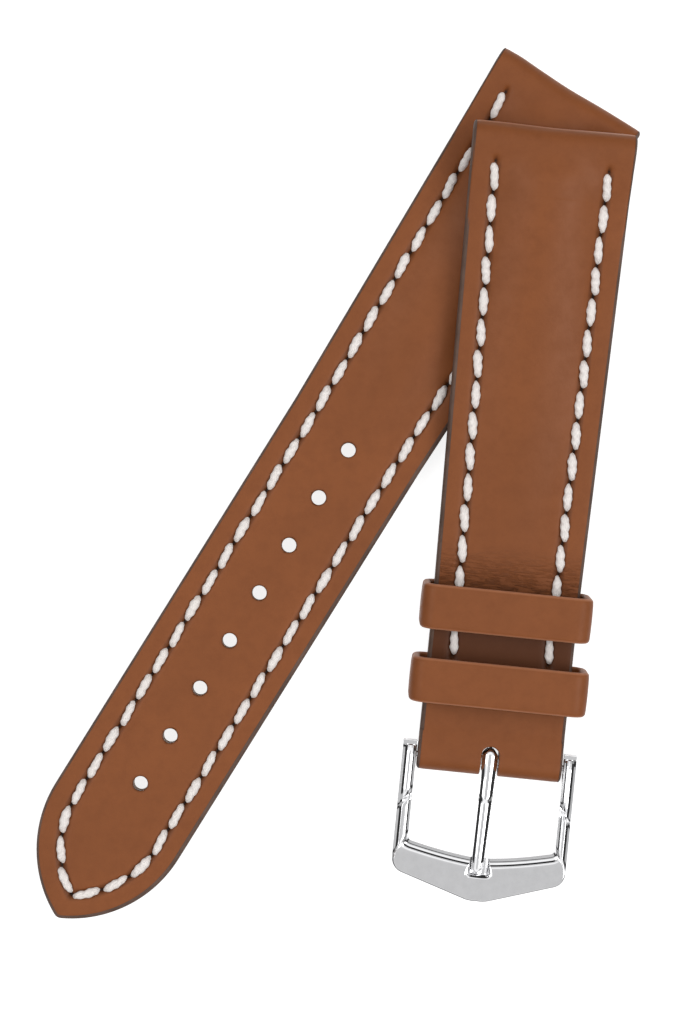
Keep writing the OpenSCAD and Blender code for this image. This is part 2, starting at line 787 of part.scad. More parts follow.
module buckle_frame() color(polished_steel) lay_buckle() difference() {
  intersection() {
    translate([0, 0, -ear_h]) linear_extrude(2 * ear_h) frame_outline();
    across() frame_side();
  }
  translate([0, 0, -ear_h]) linear_extrude(2 * ear_h) frame_window();
  translate([inner_side_x - past, -inner_half_w, -ear_h])
    cube([apex_x, 2 * inner_half_w, ear_h + frame_top - front_bar_t]);
  translate([inner_mid_x - past, -notch_w / 2, notch_floor])
    cube([tang_l + tang_end_play - inner_mid_x + past, notch_w, ear_h]);
  for (side = [0, 1]) mirror([0, side, 0]) {
    bar_cylinder(ear_bore_r, inner_half_w - past, inner_half_w + ear_bore_l);
    translate([inner_mid_x, 0, frame_top])
      rotate([0, 0, atan((inner_mid_x - inner_side_x) / inner_half_w)]) chamfer_bar(bar_bevel, inner_half_w);
    translate([apex_x, 0, frame_top]) rotate([0, 0, front_slope]) chamfer_bar(frame_chamfer, buckle_half_w);
    translate([apex_x, buckle_half_w, frame_top]) rotate([0, 0, 90]) chamfer_bar(frame_chamfer, 2 * apex_x);
  }
}

// Side view of the tang: the eye, the arm and the step where the rolled eye ends
module tang_side() {
  intersection() {
    circle(r = tang_eye_r);
    polygon([[-2 * tang_eye_r, -2 * tang_eye_r], [tang_eye_r + past, -2 * tang_eye_r],
             [tang_eye_r + past, tang_top], [-2 * tang_eye_r, tang_top]]);
  }
  polygon([[0, tang_floor], [tang_l + past, tang_floor], [tang_l + past, tang_top - tang_step_h],
           [tang_step_x + tang_step_h, tang_top - tang_step_h], [tang_step_x, tang_top], [0, tang_top]]);
}

// Plan of the tang: it narrows from the eye to a round tip
module tang_outline() {
  tip_x = tang_l - tang_tip_w / 2;
  translate([tip_x, 0]) intersection() {
    circle(d = tang_tip_w);
    translate([0, -tang_tip_w]) square([tang_tip_w, 2 * tang_tip_w]);
  }
  polygon([[-tang_eye_r - past, -tang_eye_w / 2], [tang_eye_r, -tang_eye_w / 2], [tip_x, -tang_tip_w / 2],
           [tip_x, tang_tip_w / 2], [tang_eye_r, tang_eye_w / 2], [-tang_eye_r - past, tang_eye_w / 2]]);
}

module buckle_tang() color(polished_steel) lay_buckle() difference() {
  intersection() {
    translate([0, 0, -ear_h]) linear_extrude(2 * ear_h) tang_outline();
    across() tang_side();
  }
  bar_cylinder(bar_r + running_play, -past - tang_eye_w, past + tang_eye_w);
}

hole_strap_upper();
hole_strap_padding();
hole_strap_tape();
hole_strap_lining();
hole_strap_needle_thread();
hole_strap_bobbin_thread();
hole_strap_edge_paint();
buckle_strap_upper();
buckle_strap_padding();
buckle_strap_tape();
buckle_strap_lining();
buckle_strap_needle_thread();
buckle_strap_bobbin_thread();
buckle_strap_edge_paint();
fixed_keeper();
free_keeper();
spring_bar_tube();
spring_bar_spring();
spring_bar_plunger_left();
spring_bar_plunger_right();
buckle_frame();
buckle_tang();
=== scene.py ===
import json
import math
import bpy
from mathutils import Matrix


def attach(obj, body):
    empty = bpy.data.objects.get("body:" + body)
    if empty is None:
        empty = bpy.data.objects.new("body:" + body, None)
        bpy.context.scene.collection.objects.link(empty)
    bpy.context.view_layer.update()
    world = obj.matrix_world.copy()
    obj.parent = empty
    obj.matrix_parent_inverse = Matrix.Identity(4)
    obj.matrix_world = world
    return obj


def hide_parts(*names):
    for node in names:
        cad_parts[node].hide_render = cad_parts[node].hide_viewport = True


bl_info = {
    "name": "Leather watch strap",
    "version": (1, 0, 0),
    "blender": (4, 5, 0),
    "location": "3D View > Sidebar > Strap",
    "description": "Makes a two-piece padded leather watch strap with stitching, keepers and a tang buckle",
    "category": "Object",
}

from types import SimpleNamespace

import bpy
import numpy as np

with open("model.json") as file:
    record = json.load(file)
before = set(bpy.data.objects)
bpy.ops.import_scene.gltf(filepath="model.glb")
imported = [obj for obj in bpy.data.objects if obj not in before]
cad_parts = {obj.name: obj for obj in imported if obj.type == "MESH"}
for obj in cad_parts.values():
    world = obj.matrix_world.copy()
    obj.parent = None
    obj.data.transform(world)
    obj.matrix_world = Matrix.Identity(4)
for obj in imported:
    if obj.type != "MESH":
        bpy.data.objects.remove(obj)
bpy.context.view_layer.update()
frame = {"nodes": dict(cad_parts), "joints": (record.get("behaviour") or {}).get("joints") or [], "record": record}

# One millimetre in metres, and the metres of a piece that its surface map spans
MM = 0.001
UV_SPAN = 0.16


# Sizes and colours


class StrapSizes(bpy.types.PropertyGroup):
    """Sizes of both straps"""
    lug_width: bpy.props.FloatProperty(
        name="Lug width", description="Width of each strap at its lug end", default=0.0199, unit="LENGTH")
    end_width: bpy.props.FloatProperty(
        name="End width", description="Width past the taper", default=0.0178, unit="LENGTH")
    hole_length: bpy.props.FloatProperty(
        name="Hole strap length", description="Length of the strap with the holes", default=0.12,
        unit="LENGTH")
    hole_taper: bpy.props.FloatProperty(
        name="Hole strap taper", description="Length over which the hole strap narrows", default=0.05,
        unit="LENGTH")
    buckle_length: bpy.props.FloatProperty(
        name="Buckle strap length", description="Length of the strap with the buckle", default=0.0796,
        unit="LENGTH")
    buckle_taper: bpy.props.FloatProperty(
        name="Buckle strap taper", description="Length over which the buckle strap narrows", default=0.06,
        unit="LENGTH")
    tip_length: bpy.props.FloatProperty(
        name="Tip length", description="Length of the pointed tip", default=0.014, unit="LENGTH")
    edge_height: bpy.props.FloatProperty(
        name="Edge thickness", description="Thickness of the straps along their flat edges", default=0.0026,
        unit="LENGTH")
    upper_thickness: bpy.props.FloatProperty(
        name="Upper leather", description="Thickness of the upper leather", default=0.0012, unit="LENGTH")
    lining_thickness: bpy.props.FloatProperty(
        name="Lining leather", description="Thickness of the lining leather", default=0.001, unit="LENGTH")
    crown_height: bpy.props.FloatProperty(
        name="Crown height", description="Height of the padded crown above the flat edges", default=0.0022,
        unit="LENGTH")
    crown_length: bpy.props.FloatProperty(
        name="Crown length", description="Distance from the lug end at which the crown ends", default=0.05,
        unit="LENGTH")
    hole_diameter: bpy.props.FloatProperty(
        name="Hole diameter", description="Diameter of an adjustment hole", default=0.0018, unit="LENGTH")
    first_hole: bpy.props.FloatProperty(
        name="First hole", description="Distance of the first hole from the lug end", default=0.0522,
        unit="LENGTH")
    hole_pitch: bpy.props.FloatProperty(
        name="Hole pitch", description="Distance between adjustment holes", default=0.0069, unit="LENGTH")
    hole_count: bpy.props.IntProperty(
        name="Holes", description="Number of adjustment holes", default=8)


class StitchSizes(bpy.types.PropertyGroup):
    """Sizes of the stitching"""
    inset: bpy.props.FloatProperty(
        name="Row inset", description="Distance of each stitch row from the edge", default=0.003,
        unit="LENGTH")
    start: bpy.props.FloatProperty(
        name="Row start", description="Distance of the first stitch hole from the lug end", default=0.0048,
        unit="LENGTH")
    pitch: bpy.props.FloatProperty(
        name="Stitch pitch", description="Distance from one stitch to the next", default=0.0038,
        unit="LENGTH")
    length: bpy.props.FloatProperty(
        name="Stitch length", description="Visible length of one stitch", default=0.0033, unit="LENGTH")
    needle: bpy.props.FloatProperty(
        name="Needle thread", description="Diameter of the thread on top", default=0.00104, unit="LENGTH")
    bobbin: bpy.props.FloatProperty(
        name="Bobbin thread", description="Diameter of the thread underneath", default=0.0005,
        unit="LENGTH")
    slant: bpy.props.FloatProperty(
        name="Slant", description="Angle of each stitch to its row", default=math.radians(4),
        subtype="ANGLE")


class BuckleSizes(bpy.types.PropertyGroup):
    """Sizes of the buckle"""
    width: bpy.props.FloatProperty(
        name="Buckle width", description="Outer width of the buckle", default=0.0212, unit="LENGTH")
    arm: bpy.props.FloatProperty(
        name="Arm width", description="Width of each side arm", default=0.00155, unit="LENGTH")
    height: bpy.props.FloatProperty(
        name="Ear height", description="Height of the ears on the spring bar", default=0.0035,
        unit="LENGTH")
    point: bpy.props.FloatProperty(
        name="Point", description="Distance from the spring bar to the front bar's point", default=0.0175,
        unit="LENGTH")
    tang_length: bpy.props.FloatProperty(
        name="Tang length", description="Distance from the spring bar to the tang's tip", default=0.0137,
        unit="LENGTH")
    tang_width: bpy.props.FloatProperty(
        name="Tang width", description="Width of the tang at its eye", default=0.0018, unit="LENGTH")


class Finishes(bpy.types.PropertyGroup):
    """Colours of the materials"""
    leather: bpy.props.FloatVectorProperty(
        name="Leather", description="Colour of the upper leather", default=(0.218, 0.067, 0.019),
        subtype="COLOR")
    # Besides the leather's random specks, this dark brown gives the painted shade at stitch holes, in creases and
    # round the keepers.
    leather_dark: bpy.props.FloatVectorProperty(
        name="Dark leather", description="Colour of the leather's darker clouds and dents",
        default=(0.155, 0.044, 0.012), subtype="COLOR")
    lining: bpy.props.FloatVectorProperty(
        name="Lining", description="Colour of the lining leather", default=(0.48, 0.29, 0.16),
        subtype="COLOR")
    thread: bpy.props.FloatVectorProperty(
        name="Thread", description="Colour of the stitching", default=(0.88, 0.82, 0.78), subtype="COLOR")
    edge: bpy.props.FloatVectorProperty(
        name="Edge paint", description="Colour of the painted edges", default=(0.105, 0.064, 0.048),
        subtype="COLOR")
    steel: bpy.props.FloatVectorProperty(
        name="Steel", description="Colour of the polished buckle", default=(0.86, 0.86, 0.87),
        subtype="COLOR")


def millimetres(group):
    """The group's lengths in millimetres, its counts and angles as they are."""
    found = {}
    for name in group.bl_rna.properties.keys():
        prop = group.bl_rna.properties[name]
        if prop.type in {"FLOAT", "INT"}:
            value = getattr(group, name)
            found[name] = value / MM if prop.type == "FLOAT" and prop.unit == "LENGTH" else value
    return SimpleNamespace(**found)


# Places of the pieces


def record_mount(name):
    """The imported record's mount of that name: its point in millimetres and its axis."""
    for mount in frame["record"]["mounts"]:
        if mount["name"] == name:
            return np.array(mount["pos_m"]) / MM, np.array(mount["axis"])
    raise ValueError(f"no mount named {name}")


def record_joint(name):
    """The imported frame's joint of that name."""
    for joint in frame["joints"]:
        if joint["name"] == name:
            return joint
    raise ValueError(f"no joint named {name}")


class Place:
    """A frame of its own for a strap or the buckle: an origin in millimetres and three axes."""

    def __init__(self, origin, along, across, waves=()):
        self.waves = waves
        self.origin = np.asarray(origin, float)
        along = np.asarray(along, float) / np.linalg.norm(along)
        across = np.asarray(across, float)
        across = across - along * np.dot(across, along)
        across /= np.linalg.norm(across)
        self.axes = np.stack([along, across, np.cross(along, across)])

    def put(self, points):
        """Local millimetres to the shared frame in metres: the origin plus each coordinate times its axis. A
        strap's lug end is first drawn in or out a little by bells across it, which fade along the strap."""
        points = np.array(points)
        for middle, wide, far in self.waves:
            bell = np.exp(-((points[:, 1] - middle) / wide) ** 2)
            fade = np.exp(-(np.clip(points[:, 0], 0, None) / WAVE_REACH) ** 2)
            points[:, 0] += far * bell * fade
        return (self.origin + points @ self.axes) * MM


# Radii of the roll at the lug end and of the fold at the buckle. These and the lengths that follow are in
# millimetres where no other unit is named
LUG_ROLL = 2.1
FOLD_ROLL = 1.8
# How far the waves of a lug end reach along the strap, and how far the buckle leans down in front
WAVE_REACH = 9
FRAME_LEAN = math.radians(0.688)


def strap_place(mount, waves, along=None):
    """A strap's frame: x along it from its lug end, y across it and z up from its underside. It starts at the
    tunnel's mount and moves out and down by the roll's radius."""
    point, across = record_mount(mount)
    place = Place(point, np.cross(across, (0, 0, 1)) if along is None else along, across, waves)
    place.origin = place.origin - LUG_ROLL * place.axes[0] - LUG_ROLL * place.axes[2]
    return place


def hole_strap_place():
    """The hole strap lies square to its tunnel. Its lug end has two waves: (middle, width, depth)."""
    return strap_place("hole_strap_tunnel", ((-0.5, 3.5, 0.15), (-7.6, 1.8, -0.10)))


def buckle_strap_place():
    """The buckle strap lies along the free keeper's slide."""
    return strap_place("buckle_strap_tunnel", ((0.0, 4.5, 0.12),), record_joint("free_keeper_slide")["axis"])


def buckle_place():
    """The buckle's frame: x from the spring bar to the front bar, leaning down a little, y along the bar."""
    joint = record_joint("buckle_frame_hinge")
    across = np.array(joint["axis"])
    level = np.cross(across, (0, 0, 1))
    along = level * math.cos(FRAME_LEAN) - np.array((0, 0, 1)) * math.sin(FRAME_LEAN)
    return Place(np.array(joint["pos_m"]) / MM, along, across)


# Meshes from arrays


# Places to the metre that count as one when points are merged, and an odd shift that keeps round values away
# from the limits between them
PLACES_PER_METRE = 1e7
PLACE_SHIFT = 0.371


def merged(points, faces, *fields):
    """Merges points that share a place to a tenth of a micrometre, and renumbers the faces."""
    keys = np.floor(points * PLACES_PER_METRE + PLACE_SHIFT).astype(np.int64)
    _, first, back = np.unique(keys, axis=0, return_index=True, return_inverse=True)
    return (points[first], back.reshape(-1)[faces], *[np.asarray(field)[first] for field in fields])


def without_folds(faces):
    """Splits the faces into true quads and the triangles that a quad becomes where two of its corners met."""
    same = faces == np.roll(faces, -1, axis=1)
    quads = faces[(same.sum(1) == 0) & (faces[:, 0] != faces[:, 2]) & (faces[:, 1] != faces[:, 3])]
    thin = np.concatenate([np.delete(faces[(same.sum(1) == 1) & same[:, k]], k, axis=1) for k in range(4)])
    return quads, thin[(thin[:, 0] != thin[:, 1]) & (thin[:, 1] != thin[:, 2]) & (thin[:, 0] != thin[:, 2])]


def outward(points, faces):
    """The faces, turned over if the volume inside them comes out negative."""
    a, b, c, d = [points[faces[:, k]] for k in range(4)]
    volume = (np.cross(b - a, c - a) * a).sum() + (np.cross(c - a, d - a) * a).sum()
    return faces if volume > 0 else faces[:, ::-1]


def make_piece(name, shells, material):
    """A mesh object at the origin from closed shells, each a tuple of points in metres, four-cornered faces,
    surface coordinates and a share of painted light at each point: painted shade at the stitch holes, the
    stitch groove and the holes' lips, or a keeper's lighter rims, which are partly a painted highlight. Each
    shell is merged and turned outward."""
    corners, totals, places, maps, pressed, count = [], [], [], [], [], 0
    for points, faces, uv, press in shells:
        points, faces, uv, press = merged(np.asarray(points, float), faces, uv, press)
        quads, thin = without_folds(outward(points, faces))
        corners += [quads.reshape(-1) + count, thin.reshape(-1) + count]
        totals += [np.full(len(quads), 4), np.full(len(thin), 3)]
        places.append(points)
        maps.append(uv)
        pressed.append(press)
        count += len(points)
    points, uv, press = np.concatenate(places), np.concatenate(maps), np.concatenate(pressed)
    corners, totals = np.concatenate(corners), np.concatenate(totals)
    used = np.zeros(count, bool)
    used[corners] = True
    corners = (np.cumsum(used) - 1)[corners]
    starts = np.concatenate([[0], np.cumsum(totals)[:-1]])
    mesh = bpy.data.meshes.new(name)
    mesh.vertices.add(int(used.sum()))
    mesh.vertices.foreach_set("co", points[used].astype(np.float32).reshape(-1))
    mesh.loops.add(len(corners))
    mesh.loops.foreach_set("vertex_index", corners.astype(np.int32))
    mesh.polygons.add(len(totals))
    mesh.polygons.foreach_set("loop_start", starts.astype(np.int32))
    mesh.polygons.foreach_set("loop_total", totals.astype(np.int32))
    mesh.polygons.foreach_set("use_smooth", np.full(len(totals), True))
    mesh.update(calc_edges=True)
    layer = mesh.uv_layers.new(name="surface")
    layer.data.foreach_set("uv", uv[used][corners].astype(np.float32).reshape(-1))
    # The materials mix in painted shade or a painted highlight by this share.
    mesh.attributes.new("press", "FLOAT", "POINT").data.foreach_set("value", press[used].astype(np.float32))
    if mesh.validate():
        raise RuntimeError(f"{name} has a broken face")
    piece = bpy.data.objects.new(name, mesh)
    bpy.context.scene.collection.objects.link(piece)
    mesh.materials.append(material)
    return piece


def grid_faces(rows, columns, close_rows=False, close_columns=False):
    """Faces of a grid of points stored row by row, wrapped round in either direction if asked."""
    last_row = rows if close_rows else rows - 1
    last_column = columns if close_columns else columns - 1
    i, j = np.meshgrid(np.arange(last_row), np.arange(last_column), indexing="ij")
    i2, j2 = (i + 1) % rows, (j + 1) % columns
    faces = np.stack([i * columns + j, i2 * columns + j, i2 * columns + j2, i * columns + j2], -1)
    return faces.reshape(-1, 4)


def border(faces):
    """Directed edges that only one face has, as pairs of points."""
    edges = np.concatenate([faces[:, [k, (k + 1) % 4]] for k in range(4)])
    edges = edges[edges[:, 0] != edges[:, 1]]
    low, high = edges.min(1), edges.max(1)
    key = low * (faces.max() + 1) + high
    _, first, count = np.unique(key, return_index=True, return_counts=True)
    return edges[first[count == 1]]


def closed_shell(outer, inner, faces, *fields):
    """One closed mesh: the faces on the outer points, the same turned over on the inner ones, and a wall
    along every border."""
    n = len(outer)
    rim = border(faces)
    walls = np.stack([rim[:, 1], rim[:, 0], rim[:, 0] + n, rim[:, 1] + n], -1)
    return (np.concatenate([outer, inner]), np.concatenate([faces, faces[:, ::-1] + n, walls]),
            *[np.concatenate([field, field]) for field in fields])


def bar_faces(rings, n):
    """Faces of a bar from rings of n points that run out and back: its sides and a lid over each end."""
    k = np.arange(n // 2 - 1)
    lid = np.stack([k, k + 1, n - 2 - k, n - 1 - k], -1)
    return np.concatenate([grid_faces(rings, n, close_columns=True), lid, lid[:, ::-1] + (rings - 1) * n])


def capped(rings):
    """Points and faces of a tube from its rings of points, with a fan of triangles over each end."""
    rows, n = rings.shape[:2]
    points = np.concatenate([rings.reshape(-1, 3), rings[:1].mean(1), rings[-1:].mean(1)])
    j = np.arange(n)
    j2 = (j + 1) % n
    middle = np.full(n, rows * n)
    first = np.stack([middle, middle, j2, j], -1)
    last = np.stack([middle + 1, middle + 1, j + (rows - 1) * n, j2 + (rows - 1) * n], -1)
    return points, np.concatenate([grid_faces(rows, n, close_columns=True), first, last])


def surface_map(s, y):
    """Surface coordinates: the distance along the strap and across it, as shares of the map's span."""
    return np.stack([s / 1000 / UV_SPAN, 0.5 + y / 1000 / UV_SPAN], -1)


def plain_shell(place, points, faces):
    """A shell for make_piece with its surface coordinates from x and y, and nothing pressed in."""
    return place.put(points), faces, surface_map(points[:, 0], points[:, 1]), np.zeros(len(points))


def steps(*marks):
    """Values from mark to mark: each mark is (value, step to the next), and the last one is a plain value."""
    found = []
    for (low, step), high in zip(marks[:-1], [m[0] if isinstance(m, tuple) else m for m in marks[1:]]):
        count = max(1, int(round((high - low) / step)))
        found.append(np.linspace(low, high, count, endpoint=False))
    return np.concatenate(found + [[marks[-1]]])


def smooth_step(x, low, high):
    """From 0 at low to 1 at high with level ends: 3 t squared less 2 t cubed."""
    t = np.clip((x - low) / (high - low), 0, 1)
    return t * t * (3 - 2 * t)


def run_along(line):
    """Distance from a line's first point to each of its points, measured along the line."""
    return np.concatenate([[0], np.cumsum(np.linalg.norm(np.diff(line, axis=0), axis=1))])


def smooth_max(a, b, width):
    """The larger of two heights, with the corner between them rounded over a width."""
    return (a + b + np.sqrt((a - b) ** 2 + width * width)) / 2


# The straps' shape

# Radius of the tip's round point, and a place past every strap for the one that has no tip
TIP_ROUND = 1.0
NO_TIP = 1e6
# How far the leather lies inside the outline, and how far its edges fall
LEATHER_INSET = 0.2
EDGE_ROUND = 0.5
# Where the crown's ridge starts to fall, and the radius across it there and at its end
CROWN_FROM = 12.0
CROWN_START, CROWN_END = 9.0, 20.0
# Where the flap under the lug end stops, how thick it is, and the ramps behind the roll and before the fold
FLAP_END = 9.0
FLAP_THICK = 1.0
RAMP = 6.3
FOLD_RAMP = 4.0
# Radii of the fold's bore and of the lug tunnel
FOLD_BORE = 0.85
TUNNEL_BORE = 1.0
# Length of a keeper along the strap, its leather's thickness and the radii of its corners and rims
KEEPER_LENGTH = 5.5
KEEPER_LEATHER = 1.0
KEEPER_CORNER = 1.25
KEEPER_RIM = 0.5
# Height under a keeper above the strap's edge, and distances from the fixed keeper to the strap's end and to
# the free keeper
KEEPER_HEADROOM = 3.2
FIXED_KEEPER_BACK = 8.8
KEEPER_GAP = 3.5
# Half width of the tang's slot, its distance from the strap's end and the thickness of the leather beside it
SLOT_HALF = 1.1
SLOT_BACK = 2.71
SLOT_THICK = 0.42
# Half heights of the squares of the mesh that a hole and the slot are set in, and the radius of their lips
HOLE_SQUARE = 1.5
SLOT_SQUARE = 1.85
LIP_ROUND = 0.18
# A prick hole's length and width and the stitch groove's width, each where its bell has fallen to a third
PRICK_LONG, PRICK_WIDE = 0.32, 0.19
GROOVE_WIDE = 0.6
# A distance past the reach of every rim, lip and notch, for places that have none near
FAR = 9.0
# How far the tunnels' backs and the tape stay inside the outline, and the padding
SIDE_INSET = 0.25
PADDING_INSET = 2.9
# The side path's step and how many steps the bell that smooths it reaches, its width, and how many steps hold
# the flap and the way from the top into the fold
PATH_STEP = 0.05
BELL_REACH = 16
BELL_WIDTH = 0.3
FLAP_STEPS = 400
FOLD_STEPS = 300


class StrapShape:
    """Heights, widths and rows of one strap in its own frame: x from the lug end, y across, z up."""

    def __init__(self, sizes, stitch, kind):
        self.kind = kind
        self.lug = sizes.lug_width / 2
        self.end = sizes.end_width / 2
        self.length = sizes.hole_length if kind == "hole" else sizes.buckle_length
        self.taper = sizes.hole_taper if kind == "hole" else sizes.buckle_taper
        self.edge = sizes.edge_height
        self.upper = sizes.upper_thickness
        self.lining = sizes.lining_thickness
        self.crown = sizes.crown_height
        self.crown_length = sizes.crown_length
        self.tip_from = self.length - sizes.tip_length if kind == "hole" else NO_TIP
        self.tip_radius = (sizes.tip_length ** 2 + self.end ** 2) / (2 * self.end)
        self.sink = self.tip_radius - self.end
        self.point_centre = math.sqrt((self.tip_radius - TIP_ROUND) ** 2 - self.sink ** 2)
        self.row_inset = stitch.inset
        self.row_start = stitch.start
        self.stitch = stitch
        self.keeper_from = self.length - FIXED_KEEPER_BACK - KEEPER_LENGTH
        if kind == "hole":
            arc = self.tip_radius - self.row_inset
            self.row_length = self.tip_from - self.row_start + arc * math.acos(self.sink / arc)
            self.holes = [sizes.first_hole + k * sizes.hole_pitch for k in range(sizes.hole_count)]
        else:
            self.row_length = self.keeper_from - self.row_start
            self.holes = []
        self.hole_radius = sizes.hole_diameter / 2
        self.stitches = int(round(self.row_length / stitch.pitch))
        self.step = self.row_length / self.stitches
        self.rim_wide = 0.4 if kind == "hole" else 0.42
        self.rim_lean = 0.012 if kind == "hole" else -0.006
        self.path = self.side_path()

    def rim_width(self, y):
        """Width of the rounded, painted rim seen from above: a little more on one side of the strap."""
        return self.rim_wide + self.rim_lean * y

    def half_width(self, s):
        """Half width of the outline without its tip: it falls in a straight line over the taper."""
        return np.where(s < self.taper, self.lug - (self.lug - self.end) * s / self.taper, self.end)

    def outline(self, s, inset):
        """Half width of the outline drawn in by an inset. The tip is two arcs with a small round point: each
        arc is the circle's height over the middle line, and the point is a circle on it."""
        straight = self.half_width(s) - inset
        if self.kind != "hole":
            return straight
        arc = self.tip_radius - inset
        x = np.clip(s - self.tip_from, 0, None)
        curved = np.sqrt(np.clip(arc * arc - x * x, 0, None)) - self.sink
        small = TIP_ROUND - inset
        if small > 0:
            centre = self.point_centre
            cap_from = centre + small * centre / (self.tip_radius - TIP_ROUND)
            cap = np.sqrt(np.clip(small * small - (x - centre) ** 2, 0, None))
            curved = np.where(x > cap_from, cap, curved)
        return np.where(s > self.tip_from, np.clip(curved, 0, None), straight)

    def end_at(self, inset):
        """Where the outline drawn in by an inset ends along the strap."""
        if self.kind != "hole":
            return self.length
        if inset < TIP_ROUND:
            return self.tip_from + self.point_centre + TIP_ROUND - inset
        return self.tip_from + math.sqrt((self.tip_radius - inset) ** 2 - self.sink ** 2)

    def edge_distance(self, s, y):
        """Distance in from the outline: straight across on the straight sides, along the radius on arcs."""
        straight = self.half_width(s) - np.abs(y)
        arc = self.tip_radius - np.hypot(s - self.tip_from, np.abs(y) + self.sink)
        return np.where(s > self.tip_from, arc, straight)

    def row_distance(self, s, y):
        """Distance along the stitch row from its first hole, on the straight side or round the arc."""
        straight = s - self.row_start
        angle = np.arctan2(s - self.tip_from, np.abs(y) + self.sink)
        arc = self.tip_from - self.row_start + (self.tip_radius - self.row_inset) * angle
        return np.where(s > self.tip_from, arc, straight)

    def row_point(self, along):
        """Point of the +y stitch row at a distance along it: (s, y)."""
        straight = self.tip_from - self.row_start
        arc = self.tip_radius - self.row_inset
        angle = np.clip(along - straight, 0, None) / arc
        s = np.where(along < straight, self.row_start + along, self.tip_from + arc * np.sin(angle))
        y = np.where(along < straight, self.half_width(self.row_start + along) - self.row_inset,
                     arc * np.cos(angle) - self.sink)
        return s, y

    def crown_top(self, s, y):
        """Height of the crown: a ridge that falls in a straight line from its highest point and rises to it
        on an arc, with a circle across it that widens along the strap."""
        share = (s - CROWN_FROM) / (self.crown_length - CROWN_FROM)
        back = np.clip(CROWN_FROM + 2 - s, 0, None)
        ridge = self.crown * (1 - share)
        start = self.crown * (1 - 2 / (self.crown_length - CROWN_FROM)) + (back - 0.06 * back ** 2) * 0.058
        ridge = np.where(back > 0, start - np.clip(back - 6, 0, None) ** 2 * 0.01, ridge)
        radius = np.clip(CROWN_START + (CROWN_END - CROWN_START) * share, 8, 40)
        across = np.clip(np.abs(y), 0, radius * 0.98)
        return self.edge + ridge - radius + np.sqrt(radius ** 2 - across ** 2)

    def side_path(self):
        """The upper leather's outer line seen from the side, from its flap's end under the strap, round the
        roll at the lug end, down the ramp and along the top to the tip, or round the fold at the buckle. It
        is laid out as lines and arcs, sampled evenly and smoothed by a short bell curve."""
        r = LUG_ROLL
        line = [np.array([[FLAP_END, 0.0], [r, 0.0]])]
        ramp = self.ramp_angle(r, RAMP)
        turn = np.radians(np.linspace(-90, -270 - ramp, 60))
        line.append(np.stack([r + r * np.cos(turn), r + r * np.sin(turn)], 1))
        line.append(np.array([[r + RAMP, self.edge]]))
        if self.kind == "hole":
            line.append(np.array([[self.length + 1, self.edge]]))
        else:
            f = FOLD_ROLL
            fall = self.ramp_angle(f, FOLD_RAMP)
            turn = np.radians(np.linspace(90 + fall, -90, 60))
            line.append(np.array([[self.length - f - FOLD_RAMP, self.edge]]))
            line.append(np.stack([self.length - f + f * np.cos(turn), f + f * np.sin(turn)], 1))
            line.append(np.array([[self.keeper_from + KEEPER_LENGTH + 0.1, 0.0]]))
        line = np.concatenate(line)
        run = run_along(line)
        even = np.arange(0, run[-1], PATH_STEP)
        points = np.stack([np.interp(even, run, line[:, k]) for k in (0, 1)], 1)
        reach = np.arange(-BELL_REACH, BELL_REACH + 1)
        bell = np.exp(-(reach * PATH_STEP / BELL_WIDTH) ** 2 / 2)
        bell /= bell.sum()
        before = points[:1] - (points[1] - points[0]) * np.arange(BELL_REACH, 0, -1)[:, None]
        behind = points[-1:] + (points[-1] - points[-2]) * np.arange(1, BELL_REACH + 1)[:, None]
        padded = np.concatenate([before, points, behind])
        points = np.stack([np.convolve(padded[:, k], bell, "valid") for k in (0, 1)], 1)
        slope = np.gradient(points, axis=0)
        slope /= np.linalg.norm(slope, axis=1)[:, None]
        run = run_along(points)
        mid = np.argmin(np.hypot(points[:, 0] - 30, points[:, 1] - self.edge))
        return SimpleNamespace(t=run - run[mid] + points[mid, 0], s=points[:, 0], z=points[:, 1],
                               ns=-slope[:, 1], nz=slope[:, 0])

    def ramp_angle(self, r, run):
        """Angle from the vertical at which a line to the ramp's foot touches the roll."""
        rise = self.edge - r
        return 90 - math.degrees(math.atan2(rise, run)) - math.degrees(math.acos(r / math.hypot(run, rise)))

    def at(self, t):
        """Point and outward direction of the side path at a distance t, which is x where the top is flat."""
        p = self.path
        return [np.interp(t, p.t, a) for a in (p.s, p.z, p.ns, p.nz)]

    def top_height(self, s):
        """Height of the top line at a place along the strap."""
        p = self.path
        keep = (p.nz > 0.02) & (np.gradient(p.s) > 0)
        return np.interp(s, p.s[keep], p.z[keep])


def edge_drop(distance, wide):
    """How far leather falls near its edge: a quarter ellipse over the rim's width and a slight dip that the
    paint fills."""
    near = np.clip(1 - distance / wide, 0, 1)
    dip = 0.03 * (1 - smooth_step(distance, wide, wide + 0.35))
    return EDGE_ROUND * (1 - np.sqrt(1 - near * near * 0.98)) + dip


def row_press(shape, s, y, depth, prick):
    """Depth of the stitch row's groove, a bell curve across it, with a pit at each stitch hole, and how much
    of it is a pit or groove from 0 to 1."""
    off = shape.edge_distance(s, y) - shape.row_inset
    along = shape.row_distance(s, y)
    ended = smooth_step(along, shape.row_length + 0.1, shape.row_length + 0.8)
    inside = smooth_step(along, -0.9, -0.2) * (1 - ended)
    nearest = np.clip(np.round(along / shape.step), 0, shape.stitches) * shape.step
    slant = (along - nearest) - off * math.tan(shape.stitch.slant) * np.sign(y + 1e-9)
    pit = np.exp(-(slant / PRICK_LONG) ** 2 - (off / PRICK_WIDE) ** 2)
    groove = np.exp(-(off / GROOVE_WIDE) ** 2)
    mark = 0.55 * (1 - smooth_step(np.abs(off), 0.5, 0.85)) * smooth_step(along, -0.1, 0.3)
    return inside * (depth * groove + prick * pit), inside * np.clip(mark + 1.1 * pit, 0, 1)


